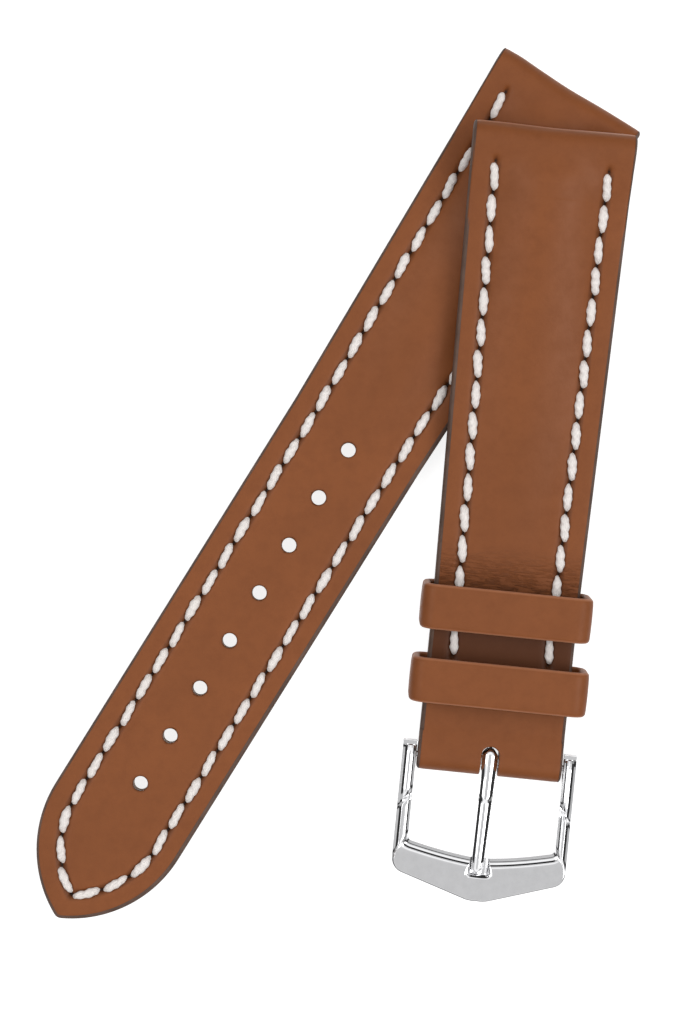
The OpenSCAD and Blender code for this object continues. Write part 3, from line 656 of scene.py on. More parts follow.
def across_lines(fine, half):
    """Places across a strap where the mesh has lines: close together at the stitch row and near the edge."""
    if fine:
        one = steps((0.0, 0.3), (1.5, 0.35), (4.9, 0.16), (6.8, 0.26), (8.1, 0.14), half)
    else:
        one = steps((0.0, 0.5), (1.5, 0.68), (4.9, 0.45), (6.8, 0.5), (8.1, 0.25), half)
    return np.concatenate([-one[:0:-1], one])


def across_place(shape, s, line):
    """Moves a mesh line from its place on the narrow end to its place at s: as it is near the middle and
    round the holes, shifted with the edge further out, and shrunk in proportion on the tip."""
    top = shape.end - LEATHER_INSET
    wide = shape.outline(np.minimum(s, shape.tip_from), LEATHER_INSET)
    shift = (wide - top) * np.clip((np.abs(line) - 2) / 2, 0, 1)
    y = line + np.sign(line) * shift
    y = y * np.where(s > shape.tip_from, shape.outline(s, LEATHER_INSET) / top, 1.0)
    if shape.kind == "hole":
        y = np.where((np.abs(line) < HOLE_SQUARE) & (s < shape.tip_from - 1), line, y)
    return y


def tip_lines(shape, marks, count):
    """Places along the hole strap where the mesh has lines: from mark to mark up to the centre of the tip's
    round point, then closer and closer to its end, by a sine."""
    centre = shape.end_at(TIP_ROUND)
    cap = centre + (shape.end_at(LEATHER_INSET) - centre) * np.sin(np.radians(np.linspace(0, 90, count)))
    return np.concatenate([steps(*marks, centre)[:-1], cap])


def sheet_domain(t_lines, v_lines, holes):
    """A grid over t and the lines across, with each hole's square taken out and a patch of rings put in
    that runs from the square to the hole. Holes are (first t, last t, radius, half height of the square)."""
    tt, vv = np.meshgrid(t_lines, v_lines, indexing="ij")
    points = np.stack([tt, vv], -1).reshape(-1, 2)
    rows, columns = tt.shape
    faces = grid_faces(rows, columns)
    middle = points[faces].mean(1)
    parts, patches = [faces], []
    gone = np.zeros(len(faces), bool)
    count = len(points)
    for first, last, radius, half in holes:
        inside = (middle[:, 0] > first - half) & (middle[:, 0] < last + half) & (np.abs(middle[:, 1]) < half)
        gone |= inside
        ring = border(faces[inside])[:, 0]
        spot = points[ring] - ((first + last) / 2, 0)
        ring = ring[np.argsort(np.arctan2(spot[:, 1], spot[:, 0]))]
        here = points[ring]
        centre = np.stack([np.clip(here[:, 0], first, last), np.zeros(len(ring))], 1)
        away = here - centre
        aim = centre + radius * away / np.linalg.norm(away, axis=1)[:, None]
        gap = np.linalg.norm(here - aim, axis=1)
        rings = [here * share + aim * (1 - share) for share in (0.72, 0.46, 0.26)]
        unit = (here - aim) / gap[:, None]
        rings += [aim + unit * off for off in (0.16, 0.09, 0.04, 0.0)]
        n = len(ring)
        index = [ring] + [count + k * n + np.arange(n) for k in range(len(rings))]
        for a, b in zip(index[:-1], index[1:]):
            parts.append(np.stack([a, np.roll(a, -1), np.roll(b, -1), b], -1))
        patches.append(np.concatenate(rings))
        count += n * len(rings)
    parts[0] = faces[~gone]
    return np.concatenate([points] + patches), np.concatenate(parts)


# The straps' pieces


def soft_crown(s):
    """How far the crown's foot is rounded: most at its start, least where it runs out."""
    return 0.3 + 0.9 * np.exp(-(np.clip(s - 6, 0, None) / 8) ** 2)


def upper_surface(shape, t, y, groove, prick):
    """The upper leather's outside: the side path moved along its own direction, up by the crown and down by
    the stitch row's groove and the fall at the edge."""
    s, z, ns, nz = shape.at(t)
    facing = smooth_step(nz, 0.6, 0.9) * smooth_step(t, 0.3, 6.0)
    lift = smooth_max(0, shape.crown_top(s, y) - z, soft_crown(s)) * facing
    pressed, mark = row_press(shape, s, y, groove, prick)
    side = smooth_step(np.abs(nz), 0.5, 0.9)
    drop = pressed * side + edge_drop(shape.edge_distance(s, y), shape.rim_width(y))
    return s, z, ns, nz, lift, drop, mark * side


def hole_lip(t, y, centres, radius):
    """How far leather falls at the lip of each hole or slot, which is a quarter circle, and from 0 to 1 how
    close the lip is."""
    gap = np.full(t.shape, FAR)
    for first, last in centres:
        gap = np.minimum(gap, np.hypot(t - np.clip(t, first, last), y) - radius)
    near = np.clip(1 - gap / LIP_ROUND, 0, 1)
    return LIP_ROUND * (1 - np.sqrt(1 - near * near * 0.98)), np.exp(-(np.clip(gap, 0, FAR) / 0.22) ** 2)


def upper_piece(shape, place, name, material):
    """The upper leather: its outside and inside joined along every edge, with the holes or the tang's slot,
    and the leather behind each tunnel, which is a ring sector round the bore."""
    path = shape.path
    roll_from = np.interp(LUG_ROLL, path.s[:FLAP_STEPS][::-1], path.t[:FLAP_STEPS][::-1])
    marks = [(path.t[0], 0.4), (roll_from, 0.22), (LUG_ROLL + RAMP, 0.24)]
    if shape.kind == "hole":
        t_lines = tip_lines(shape, marks + [(shape.end_at(TIP_ROUND) - 1.5, 0.14)], 9)
        openings = [(h, h) for h in shape.holes]
        radius, half = shape.hole_radius, HOLE_SQUARE
    else:
        t_lines = steps(*marks, (shape.length - FOLD_ROLL - FOLD_RAMP, 0.2), path.t[-1])
        slot = shape.length - SLOT_BACK
        turn = np.argmax(path.s)
        slot_top = np.interp(slot, path.s[turn - FOLD_STEPS:turn], path.t[turn - FOLD_STEPS:turn])
        slot_under = np.interp(slot, path.s[turn:][::-1], path.t[turn:][::-1])
        openings = [(slot_top, slot_under)]
        radius, half = SLOT_HALF, SLOT_SQUARE
    lines = across_lines(True, shape.end - LEATHER_INSET)
    domain, faces = sheet_domain(t_lines, lines, [(a, b, radius, half) for a, b in openings])
    t, line = domain.T
    y = across_place(shape, shape.at(t)[0], line)
    s, z, ns, nz, lift, drop, mark = upper_surface(shape, t, y, 0.28, 0.55)
    lip, near_hole = hole_lip(t, line, openings, radius)
    thick = np.where(t < roll_from, FLAP_THICK, shape.upper)
    thick = thick - 0.1 * smooth_step(t, roll_from - 1, roll_from) * (t < LUG_ROLL)
    if shape.kind == "buckle":
        thick = thick - 0.25 * smooth_step(t, shape.length - 2.5, shape.length)
        beside_slot = smooth_step(s, shape.length - 5.2, shape.length - 4.2) * (
            1 - smooth_step(np.abs(line), 1.3, 2.2))
        before_fold = 1 - smooth_step(s, shape.length - 2.4, shape.length - 1.6)
        thick = thick + (SLOT_THICK - thick) * beside_slot * before_fold
    rise = lift - drop - lip
    outer = np.stack([s + ns * rise, y, z + nz * rise], -1)
    deep = lift - thick
    inner = np.stack([s + ns * deep, y, z + nz * deep], -1)
    # Painted shade: the stitch pits and groove, and on the hole strap the holes' lips, get this share of darkening
    # in the leather's colour.
    press = np.clip(mark + (0.55 if shape.kind == "hole" else 0.0) * near_hole, 0, 1)
    points, faces, uv, press = closed_shell(outer, inner, faces, surface_map(t, y), press)
    press[len(outer):] = 0
    shells = [(place.put(points), faces, uv, press),
              back_of_tunnel(shape, place, LUG_ROLL, LUG_ROLL, TUNNEL_BORE, 1, None)]
    if shape.kind == "buckle":
        shells += [back_of_tunnel(shape, place, shape.length - FOLD_ROLL, FOLD_ROLL, FOLD_BORE, -1, side)
                   for side in (-1, 1)]
    return make_piece(name, shells, material)


def back_of_tunnel(shape, place, s0, z0, bore, way, side):
    """Leather that closes a tunnel from behind: a half-round band between the bore and the roll's radius,
    straight across the strap, or from the tang's slot to one edge."""
    angle = np.radians(np.linspace(-82, 80, 25))
    half = shape.half_width(np.array(s0)) - SIDE_INSET
    low, high = (-half, half) if side is None else sorted((side * SLOT_HALF, side * half))
    across = np.linspace(low, high, 9)[:, None]
    turn = np.concatenate([angle, angle[::-1]])
    radius = np.repeat((bore, z0 - 0.12), len(angle))
    s, z = s0 + way * radius * np.cos(turn), z0 + radius * np.sin(turn)
    points = np.stack(np.broadcast_arrays(s, across, z), -1).reshape(-1, 3)
    return plain_shell(place, points, bar_faces(len(across), len(turn)))


def plate_piece(shape, place, name, material, low, high, start, end, lined):
    """A flat layer between two heights with the strap's outline: a grid along and across it with the holes
    cut out, doubled and closed along its edges. Its underside has the bobbin row's groove where it shows."""
    marks = [(start, 0.3 if lined else 0.5)]
    t_lines = tip_lines(shape, marks, 7) if shape.kind == "hole" else steps(*marks, end)
    holes = [(h, h, shape.hole_radius, HOLE_SQUARE) for h in shape.holes]
    domain, faces = sheet_domain(t_lines, across_lines(lined, shape.end - LEATHER_INSET), holes)
    s, line = domain.T
    y = across_place(shape, s, line)
    pressed, mark = row_press(shape, s, y, 0.3, 0.25)
    rise = (pressed + edge_drop(shape.edge_distance(s, y), shape.rim_width(y))) if lined else 0 * s
    under = np.stack([s, y, low + rise], -1)
    top = np.stack([s, y, np.full(len(s), high)], -1)
    # The lining's underside takes painted shade in the stitch groove and prick holes by this share.
    points, *rest = closed_shell(top, under, faces, surface_map(s, y), mark if lined else 0 * s)
    return make_piece(name, [(place.put(points), *rest)], material)


def buckle_tape_piece(shape, place, name, material):
    """The buckle strap's tape: a side view with a wedge that rises under the fold's ramp and ends round the
    spring bar, carried across the strap and cut back in a half circle at the tang's slot."""
    bar = shape.length - FOLD_ROLL
    arc = np.radians(np.linspace(-70, 60, 12))
    along = steps((4.0, 1.0), (bar - 8, 0.3), bar - 0.4)
    top = shape.top_height(along) - shape.upper - 0.02
    side_s = np.concatenate([along, bar - FOLD_BORE * np.cos(arc) - 0.02, along[::-1]])
    side_z = np.concatenate([np.full(len(along), shape.lining), FOLD_ROLL + FOLD_BORE * np.sin(arc),
                             np.maximum(top, shape.lining + 0.35)[::-1]])
    across = across_lines(False, shape.end - SIDE_INSET)
    across = np.unique(np.concatenate([across, SLOT_HALF * np.sin(np.radians(np.linspace(-90, 90, 17)))]))
    round_back = np.sqrt(np.clip(SLOT_HALF ** 2 - across ** 2, 0, None))
    notch = np.where(np.abs(across) < SLOT_HALF, shape.length - SLOT_BACK - 0.5 - round_back, np.inf)
    s = np.minimum(side_s[None, :], notch[:, None])
    y = across[:, None] * (shape.half_width(s) - SIDE_INSET) / (shape.end - SIDE_INSET)
    points = np.stack([s, y, np.broadcast_to(side_z[None, :], s.shape)], -1).reshape(-1, 3)
    return make_piece(name, [plain_shell(place, points, bar_faces(*s.shape))], material)


def padding_piece(shape, place, name, material):
    """The padding: its top follows the underside of the crown's leather, a cone and an arc over a flat bed,
    and in front it narrows to the wedge behind the lug roll."""
    bed = shape.lining + 0.42
    s_line = steps((LUG_ROLL + 2.2, 0.5), (CROWN_FROM, 1.0), shape.crown_length - 0.2)
    share = np.sin(np.linspace(-1, 1, 41) * math.pi / 2)
    edge_top = shape.top_height(s_line)[:, None]
    y = share[None, :] * np.full((len(s_line), 1), shape.end - PADDING_INSET)
    s = np.broadcast_to(s_line[:, None], y.shape)
    top = edge_top + smooth_max(0, shape.crown_top(s, y) - edge_top, soft_crown(s)) - shape.upper - 0.03
    close = np.sqrt(1 - share ** 2)[None, :]
    ends = np.sqrt(np.clip(1 - np.clip((s_line - shape.crown_length + 4) / 4, 0, 1) ** 2, 0, None))[:, None]
    front = np.sin(np.clip((s_line - s_line[0]) / 1.2, 0, 1) * math.pi / 2)
    front = np.sqrt(np.clip(front, 0, None))[:, None]
    full = np.clip(top - bed, 0.02, None) * np.minimum(1, close * 4) * ends * front
    upper = np.stack([s, y, bed + full], -1).reshape(-1, 3)
    lower = np.stack([s, y, np.full(y.shape, bed)], -1).reshape(-1, 3)
    uv = surface_map(s, y).reshape(-1, 2)
    points, *rest = closed_shell(upper, lower, grid_faces(*y.shape), uv, np.zeros(y.size))
    return make_piece(name, [(place.put(points), *rest)], material)


# Edge paint

# Distances from a rim at which the paint has lines, how wide a patch needs to be for all of them, how far
# from a strap's end the strip begins, and how far from the tip's point its lines are closer together
PAINT_LEVELS = np.array([0, 0.03, 0.08, 0.15, 0.25, 0.38, 0.5])
PAINT_WIDE = 1.05
PAINT_BACK = 5.6
PAINT_TIP = 10.0
# Heights over which the paint is rounded at the strap's rims and at the mouth of a bore
RIM_ROUND = 0.5
MOUTH_ROUND = 0.15


def paint_depth(rim, bore, wide):
    """How far the paint's face lies in from the outline: the same quarter ellipse as the leather's fall near
    the rims, and a small one round the mouth of a bore."""
    rim = np.clip(1 - rim / RIM_ROUND, 0, 1)
    bore = np.clip(1 - bore / MOUTH_ROUND, 0, 1)
    return np.maximum(wide * (1 - np.sqrt(1 - rim * rim)), MOUTH_ROUND * (1 - np.sqrt(1 - bore * bore)))


def outline_line(shape):
    """The outline from the lug end on the +y side, and for the hole strap round the tip and back: the
    distance along it and its points."""
    if shape.kind != "hole":
        s = steps((-0.5, 0.5), shape.length + 0.5)
        return s, np.stack([s, shape.half_width(s)], -1)
    straight = steps((-0.5, 0.5), shape.tip_from)[:-1]
    centre = shape.end_at(TIP_ROUND)
    side_turn = math.atan2(shape.sink, centre - shape.tip_from)
    side = np.linspace(math.pi / 2, side_turn, 60)[:-1]
    cap = np.linspace(side_turn, 0, 8)
    half = np.concatenate([np.stack([straight, shape.half_width(straight)], -1),
                           np.stack([shape.tip_from + shape.tip_radius * np.cos(side),
                                     shape.tip_radius * np.sin(side) - shape.sink], -1),
                           np.stack([centre + TIP_ROUND * np.cos(cap), TIP_ROUND * np.sin(cap)], -1)])
    line = np.concatenate([half, half[-2::-1] * (1, -1)])
    return run_along(line) - 0.5, line


def edge_heights(shape, s):
    """Bottom and top of a strap's edge along it; the bottom is raised over the fixed keeper's lower run."""
    p = shape.path
    front = np.argmin(p.s)
    low = np.interp(s, p.s[:front][::-1], p.z[:front][::-1], right=0)
    if shape.kind == "buckle":
        back = np.argmax(p.s)
        low = np.where(s > shape.length / 2, np.interp(s, p.s[back:][::-1], p.z[back:][::-1], left=0), low)
        start, stop = shape.keeper_from, shape.keeper_from + KEEPER_LENGTH
        over = smooth_step(s, start - 0.05, start) * (1 - smooth_step(s, stop, stop + 0.05))
        low = np.maximum(low, over * shape.lining)
        top = np.interp(s, p.s[front:back], p.z[front:back])
    else:
        top = np.interp(s, p.s[front:], p.z[front:])
    return low, top


def roll_patch(shape, s0, z0, bore, back, way):
    """Side view of the paint round a bore: rays from the bore's edge out to the roll, or to the upright line
    where the strip begins, with close levels near both ends. Gives s, z and the distances to rim and bore."""
    low, top = [float(v) for v in edge_heights(shape, np.array(back))]
    levels = np.concatenate([low + PAINT_LEVELS, [(low + top) / 2], (top - PAINT_LEVELS)[::-1]])
    p = shape.path
    near = np.hypot(p.s - s0, p.z - z0) < abs(back - s0) + 3
    keep = near & ((p.s - back) * way < 0)
    order = np.argsort(np.arctan2(p.z[keep] - z0, -way * (p.s[keep] - s0)))
    rim_s, rim_z = p.s[keep][order][::4], p.z[keep][order][::4]
    out_s = np.concatenate([[back], rim_s, np.full(len(levels), float(back))])
    out_z = np.concatenate([[low if rim_z[0] < z0 else top], rim_z, levels[::-1]])
    out = np.unique(np.round(np.stack([out_s, out_z], -1), 6), axis=0)
    out = out[np.argsort(np.arctan2(out[:, 1] - z0, out[:, 0] - s0))]
    ray = out - (s0, z0)
    far = np.linalg.norm(ray, axis=1)[:, None]
    unit = ray / far
    fit = np.minimum(1, (far - bore) / PAINT_WIDE)
    radius = np.concatenate([bore + PAINT_LEVELS[None, :] * fit, far - PAINT_LEVELS[None, ::-1] * fit], 1)
    return s0 + unit[:, :1] * radius, z0 + unit[:, 1:] * radius, radius - bore


def paint_shells(shape, place):
    """The edge paint: a strip along the outline and a patch round each bore. Each point keeps its height and
    moves in from the outline by the paint's depth, and the back lies a little behind it."""
    run, line = outline_line(shape)
    inward = np.gradient(line, axis=0)
    inward = np.stack([inward[:, 1], -inward[:, 0]], -1)
    inward /= np.linalg.norm(inward, axis=1)[:, None]
    total = run[-1] - 0.5
    ends = [(LUG_ROLL, LUG_ROLL, TUNNEL_BORE, PAINT_BACK, 1)]
    if shape.kind == "buckle":
        last = shape.length - PAINT_BACK + 0.6
        ends.append((shape.length - FOLD_ROLL, FOLD_ROLL, FOLD_BORE, last, -1))
    p = shape.path
    patches = []
    for s0, z0, bore, back, way in ends:
        s, z, from_bore = roll_patch(shape, s0, z0, bore, back, way)
        rim = np.hypot(s[..., None] - p.s[::2], z[..., None] - p.z[::2]).min(-1)
        rim = np.clip(rim - 0.01, 0, None) * (rim > 0.03)
        patches.append((s, z, rim, from_bore, True))
    if shape.kind == "hole":
        u = steps((PAINT_BACK, 0.5), (shape.length - PAINT_TIP, 0.25), total / 2)
        u = np.concatenate([u, (total - u)[-2::-1]])
    else:
        beside_keeper = shape.keeper_from + np.array([-0.05, 0, KEEPER_LENGTH, KEEPER_LENGTH + 0.05])
        u = np.unique(np.concatenate([steps((PAINT_BACK, 0.5), last), beside_keeper]))
    low, top = [height[:, None] for height in edge_heights(shape, np.interp(u, run, line[:, 0]))]
    z = np.concatenate([low + PAINT_LEVELS, (low + top) / 2, top - PAINT_LEVELS[::-1]], 1)
    rim = np.minimum(z - low, top - z)
    strip = (np.broadcast_to(u[:, None], z.shape), z, rim, np.full(z.shape, FAR), False)
    sides = ((1, patches + [strip]), (-1, patches if shape.kind == "hole" else patches + [strip]))
    return [paint_shell(shape, place, (run, line, inward), domain, side)
            for side, domains in sides for domain in domains]


def paint_shell(shape, place, outline, domain, side):
    """A closed sheet of paint on one side of a strap: each point of the domain lies at its distance along the
    outline, drawn in by the paint's depth."""
    run, line, inward = outline
    along, height, rim, from_bore, closed = domain
    faces = grid_faces(*along.shape, close_rows=closed)
    along, height, rim = along.reshape(-1), height.reshape(-1), rim.reshape(-1)
    spot, aim = [np.stack([np.interp(along, run, field[:, k]) for k in (0, 1)], -1)
                 for field in (line, inward)]
    depth = paint_depth(rim, from_bore.reshape(-1), shape.rim_width(side * spot[:, 1]))
    sheets = []
    for off in (depth, depth + 0.01 + 0.35 * smooth_step(rim, 0, 0.2)):
        here = spot + aim * off[:, None]
        sheets.append(np.stack([here[:, 0], side * here[:, 1], height], -1))
    points, *rest = closed_shell(*sheets, faces, surface_map(along, height), np.zeros(len(depth)))
    return place.put(points), *rest


# Stitches


def stitch_shells(shape, place, under):
    """Every stitch of a strap's two rows: a closed tube whose middle line rises from one prick hole and dives
    into the next, drawn in at both ends, with the wave of two plies turning round each other."""
    size = shape.stitch
    radius = (size.bobbin if under else size.needle) / 2
    share = np.linspace(-1, 1, 37)
    turn = np.radians(np.linspace(0, 360, 16, endpoint=False))
    number = np.arange(shape.stitches)
    reach = size.length / 2 + 0.12
    along = (number + 0.5)[:, None] * shape.step + share[None, :] * reach
    odd = np.sin(number * 2.399)[:, None]
    other = np.sin(number * 4.1 + 1.3)[:, None]
    lean = share[None, :] * reach * np.tan(size.slant * (1 + 0.5 * other))
    lean = lean + np.sign(share) * 0.1 * np.abs(share) ** 6
    s, y = shape.row_point(along)
    s2, y2 = shape.row_point(along + 0.01)
    ahead = np.stack([s2 - s, y2 - y], -1)
    ahead /= np.linalg.norm(ahead, axis=-1)[..., None]
    aside = np.stack([-ahead[..., 1], ahead[..., 0]], -1)
    drawn = 1 - 0.72 * np.abs(share) ** 3.4 - 0.28 * np.abs(share) ** 24
    plump = radius * np.clip(drawn, 0, None) * (1 + 0.05 * odd + 0.07 * np.sin(3.3 * share + 5 * other))
    if under:
        level = 0.3 + 0.55 * np.abs(share[None, :]) ** 6 + 0 * s
    else:
        level = shape.top_height(s) + 0.06 + 0.02 * odd - 0.62 * np.abs(share[None, :]) ** 5
    lay = share[None, :, None] * 5.2 + number[:, None, None] * 0.9
    plies = 0.085 * np.cos(2 * (turn[None, None, :] + lay))
    strands = 0.04 * np.sin(turn + 7 * share[None, :, None] + 3 * odd[..., None])
    r = plump[..., None] * (1 + plies + strands)
    shells = []
    for side in (1, -1):
        sway = r * np.cos(turn) + (lean * side + 0.05 * odd)[..., None]
        rise = r * np.sin(turn) * (1.0 if under else 0.8)
        place_s = s[..., None] + aside[..., :1] * sway
        place_y = y[..., None] + aside[..., 1:] * sway
        points = np.stack([place_s, side * place_y, level[..., None] + rise], -1)
        n, rings, around = points.shape[:3]
        faces = grid_faces(rings, around, close_columns=True)
        faces = (faces[None] + (np.arange(n) * rings * around)[:, None, None]).reshape(-1, 4)
        points = points.reshape(-1, 3)
        uv = np.stack([np.broadcast_to((along / 4)[..., None], (n, rings, around)),
                       np.broadcast_to(turn / (2 * math.pi), (n, rings, around))], -1).reshape(-1, 2)
        shells.append((place.put(points), faces, uv, np.zeros(len(points))))
    return shells


# Keepers


def keeper_piece(shape, place, name, material, s_from, play, low, floor):
    """A keeper: a strip with round rims carried round a loop. The loop is a box with round corners, sampled
    evenly. The strip's cross-section is a box whose sides are half rounds, a little fuller in the middle."""
    r = KEEPER_CORNER
    side = shape.end + play + KEEPER_LEATHER / 2 - r
    top = shape.edge + KEEPER_HEADROOM + KEEPER_LEATHER / 2 - r
    bottom = low - floor / 2 + r
    box = []
    for y, z, start in ((side, top, 0), (-side, top, 90), (-side, bottom, 180), (side, bottom, 270)):
        a = np.radians(np.linspace(start, start + 90, 12))
        box.append(np.stack([y + r * np.cos(a), z + r * np.sin(a)], -1))
    box = np.concatenate(box + [box[0][:1]])
    run = run_along(box)
    even = np.linspace(0, run[-1], 401)[:-1]
    loop = np.stack([np.interp(even, run, box[:, k]) for k in (0, 1)], -1)
    away = np.stack([np.gradient(loop[:, 1]), -np.gradient(loop[:, 0])], -1)
    away /= np.linalg.norm(away, axis=1)[:, None]
    edge = np.radians(np.linspace(-90, 90, 9))[1:-1]
    flat = steps((KEEPER_RIM, 0.35), KEEPER_LENGTH - KEEPER_RIM)
    one = np.ones(len(flat) - 1)
    across = np.concatenate([flat[:-1], KEEPER_LENGTH - KEEPER_RIM + KEEPER_RIM * np.cos(edge),
                             flat[::-1][:-1], KEEPER_RIM - KEEPER_RIM * np.cos(edge)])
    level = np.concatenate([-one, np.sin(edge), one, -np.sin(edge)])
    bulge = 0.06 * np.sin(np.clip(across / KEEPER_LENGTH, 0, 1) * math.pi) * (level > 0)
    off = np.broadcast_to(level * KEEPER_LEATHER / 2 + bulge, (len(loop), len(across)))
    points = np.stack([np.broadcast_to(s_from + across, off.shape),
                       loop[:, :1] + away[:, :1] * off, loop[:, 1:] + away[:, 1:] * off], -1).reshape(-1, 3)
    faces = grid_faces(*off.shape, close_rows=True, close_columns=True)
    uv = np.stack(np.broadcast_arrays(across / KEEPER_LENGTH, (even / run[-1])[:, None]), -1).reshape(-1, 2)
    # The keeper's rims get a lighter colour by this share: partly the edges' own lighter tone, partly a painted
    # highlight.
    rim = np.exp(-(np.clip(np.minimum(across, KEEPER_LENGTH - across) - 0.08, 0, None) / 0.12) ** 2)
    press = np.broadcast_to(rim, off.shape).reshape(-1)
    return make_piece(name, [(place.put(points), faces, uv, press)], material)


# Buckle

# Where the opening ends at the front bar's side and in its middle, the bar's thickness, and where the arms'
# section turns into the bar's
INNER_SIDE, INNER_MIDDLE = 10.5, 11.9
BAR_THICK = 1.9
BAR_FROM, BAR_TO = 9.4, 10.5
# The arch under the arms: where it begins, its height, its middle and its half length
ARCH_FROM = 1.75
ARCH_HIGH, ARCH_MIDDLE, ARCH_HALF = 0.8, 7.1, 4.9
# Where the arms' top twists, and how far that line leans over the arm's width
TWIST_AT, TWIST_LEAN = 5.35, 0.6
# How far the frame's sides stand out past its plain width, the angle of its front and its corners' radii
FRAME_OVER = 0.2
FRONT_ANGLE = math.radians(17.5)
INNER_CORNER, OUTER_CORNER = 0.7, 1.9
# The tang: width of its round tip, how far that reaches past the plain length, half thickness of its thin and
# of its thick part, and how far it lies off the middle at the tip
TIP_WIDTH = 1.44
TIP_OVER = 0.24
TANG_THIN, TANG_THICK = 0.33, 0.41
TANG_LEAN = 0.26
# Where the eye's rolled end makes its step on the arm, how high it is and how far it lags at the sides
STEP_AT, STEP_HIGH, STEP_LAG = 4.9, 0.11, 0.6
# Its eye: radius of its middle line, stretch along the tang, the power that squares its back, and how far the
# arm's middle line lies above the spring bar
EYE_RADIUS = 1.18
EYE_STRETCH = 1.22
EYE_POWER = 3.6
ARM_LEVEL = 1.125
# The notch's section across and along as pairs of place and height from the frame's top
NOTCH_SIDE = np.array([(0.84, -1.1), (1.16, -0.86), (1.18, -0.30), (1.34, -0.17), (1.40, -0.14),
                       (1.58, -0.065), (1.76, -0.02), (2.0, 0.0), (2.02, FAR)])
NOTCH_FRONT = np.array([(14.03, -1.1), (14.05, -0.12), (14.08, -0.06), (14.14, -0.015), (14.2, 0.0),
                        (14.22, FAR)])


def plan_lines(size):
    """Plan of the buckle's frame as matching points of its inner and outer lines, symmetric about the middle:
    along the arm, round the corner, then along the front bar, whose inside is a bowed curve and whose outside
    is a straight line to its point."""
    inner_y, outer_y = size.width / 2 - size.arm, size.width / 2 + FRAME_OVER
    slope = math.atan2(INNER_MIDDLE - INNER_SIDE, inner_y)
    corner_x = size.point - outer_y * math.tan(FRONT_ANGLE)
    inner_end = INNER_SIDE - INNER_CORNER * math.tan((math.pi / 2 - slope) / 2)
    outer_end = corner_x - OUTER_CORNER * math.tan((math.pi / 2 - FRONT_ANGLE) / 2)
    ear = np.unique(np.concatenate([EAR_LINE[:, 0], steps((0.12, 0.07), (0.45, 1.0), (0.70, 0.08), 1.68)]))
    ear = ear[np.diff(ear, append=FAR) > 0.004] / EAR_LINE[-1, 1] * size.height / 2 - size.height / 2
    near = steps((0.0, 0.19), (0.84, 0.16), (1.16, 0.02), (1.18, 0.06), (1.34, 0.07), (2.0, 0.12), 2.6)[::-1]
    share = np.linspace(1, 0, 30)[1:-1]
    lines, bars = [], []
    for side, end, corner, angle in ((inner_y, inner_end, INNER_CORNER, slope),
                                     (outer_y, outer_end, OUTER_CORNER, FRONT_ANGLE)):
        arm = np.concatenate([ear, np.linspace(0, 1, 34)[1:] * end])
        turn = math.pi / 2 - np.linspace(0, 1, 15)[1:] * (math.pi / 2 - angle)
        lines.append(np.concatenate([
            np.stack([arm, np.full(len(arm), side)], -1),
            np.stack([end + corner * np.cos(turn), side - corner + corner * np.sin(turn)], -1)]))
        bars.append(np.concatenate([near[0] + share * (lines[-1][-1, 1] - near[0]), near]))
    (in_x, in_y), (out_x, out_y) = lines[0][-1], lines[1][-1]
    inner_bar = INNER_MIDDLE + (in_x - INNER_MIDDLE) * (bars[0] / in_y) ** 1.5
    outer_bar = out_x + (size.point - out_x) * (1 - bars[1] / out_y)
    outer_bar = outer_bar - 0.35 * np.clip(1 - bars[1] / 1.6, 0, 1) ** 2
    inner, outer = [np.concatenate([line, np.stack([bar_x, bar_y], -1)])
                    for line, bar_x, bar_y in zip(lines, (inner_bar, outer_bar), bars)]
    inner, outer = [np.concatenate([line, line[-2::-1] * (1, -1)]) for line in (inner, outer)]
    outer[:, 1] -= 0.17 * np.clip(outer[:, 1] / outer_y, 0, 1) ** 2
    return inner, outer


def held(*corners, near=0.012):
    """A polished profile from its corners: every inner corner becomes two close points on either side, so
    that each facet keeps its slope: corner + (next corner - corner) * near / length, once and twice."""
    c = np.array(corners, float)
    step = np.diff(c, axis=0)
    share = np.minimum(near / np.linalg.norm(step, axis=1), 0.2)[:, None] * step
    before, after = share[:-1], share[1:]
    inner = np.stack([c[1:-1] - 2 * before, c[1:-1] - before, c[1:-1] + after, c[1:-1] + 2 * after], 1)
    return np.concatenate([c[:1], inner.reshape(-1, 2), c[-1:]])


# Edges of the frame's section as pairs of distance from the side and depth below the top
ARM_INSIDE = held((0, 0.42), (0.01, 0.33), (0.04, 0.265), (0.28, 0.128), (0.43, 0.018), (0.46, 0.005),
                  (0.49, 0.001), (0.51, 0))
BAR_INSIDE = held((0, 0.68), (0.05, 0.553), (0.36, 0.365), (0.43, 0.309), (0.53, 0.248), (0.74, 0.163),
                  (0.945, 0), (0.97, -0.01))
ARM_OUTSIDE = held((0.67, 0), (0.65, 0.001), (0.63, 0.005), (0.60, 0.018), (0.32, 0.209), (0.04, 0.358),
                   (0.01, 0.41), (0, 0.50))
BAR_OUTSIDE = held((0.18, 0), (0.16, 0.001), (0.14, 0.004), (0.12, 0.014), (0.10, 0.028), (0.03, 0.076),
                   (0.01, 0.12), (0, 0.18))
# The ears' outline seen from the side as pairs of distance from their rounded end and half height
EAR_LINE = held((0, 0.02), (0.02, 0.95), (0.05, 1.25), (0.50, 1.31), (0.64, 1.423), (0.95, 1.56),
                (1.3, 1.67), (1.75, 1.75))
# The tang's section as pairs of distance from its middle and height
TANG_ARC = held((0, 1), (0.2, 0.976), (0.5, 0.753), (0.975, 0.02), (1, 0))
# Where the front bar's top has lines, as shares of the way over it
BAR_ACROSS = np.array([0.012, 0.024, 0.036, 0.048, 0.06, 0.075, 0.095, 0.12, 0.15, 0.19, 0.235, 0.28,
                       0.33, 0.38, 0.43, 0.48, 0.53, 0.58, 0.64, 0.70, 0.76, 0.83, 0.90, 0.96])


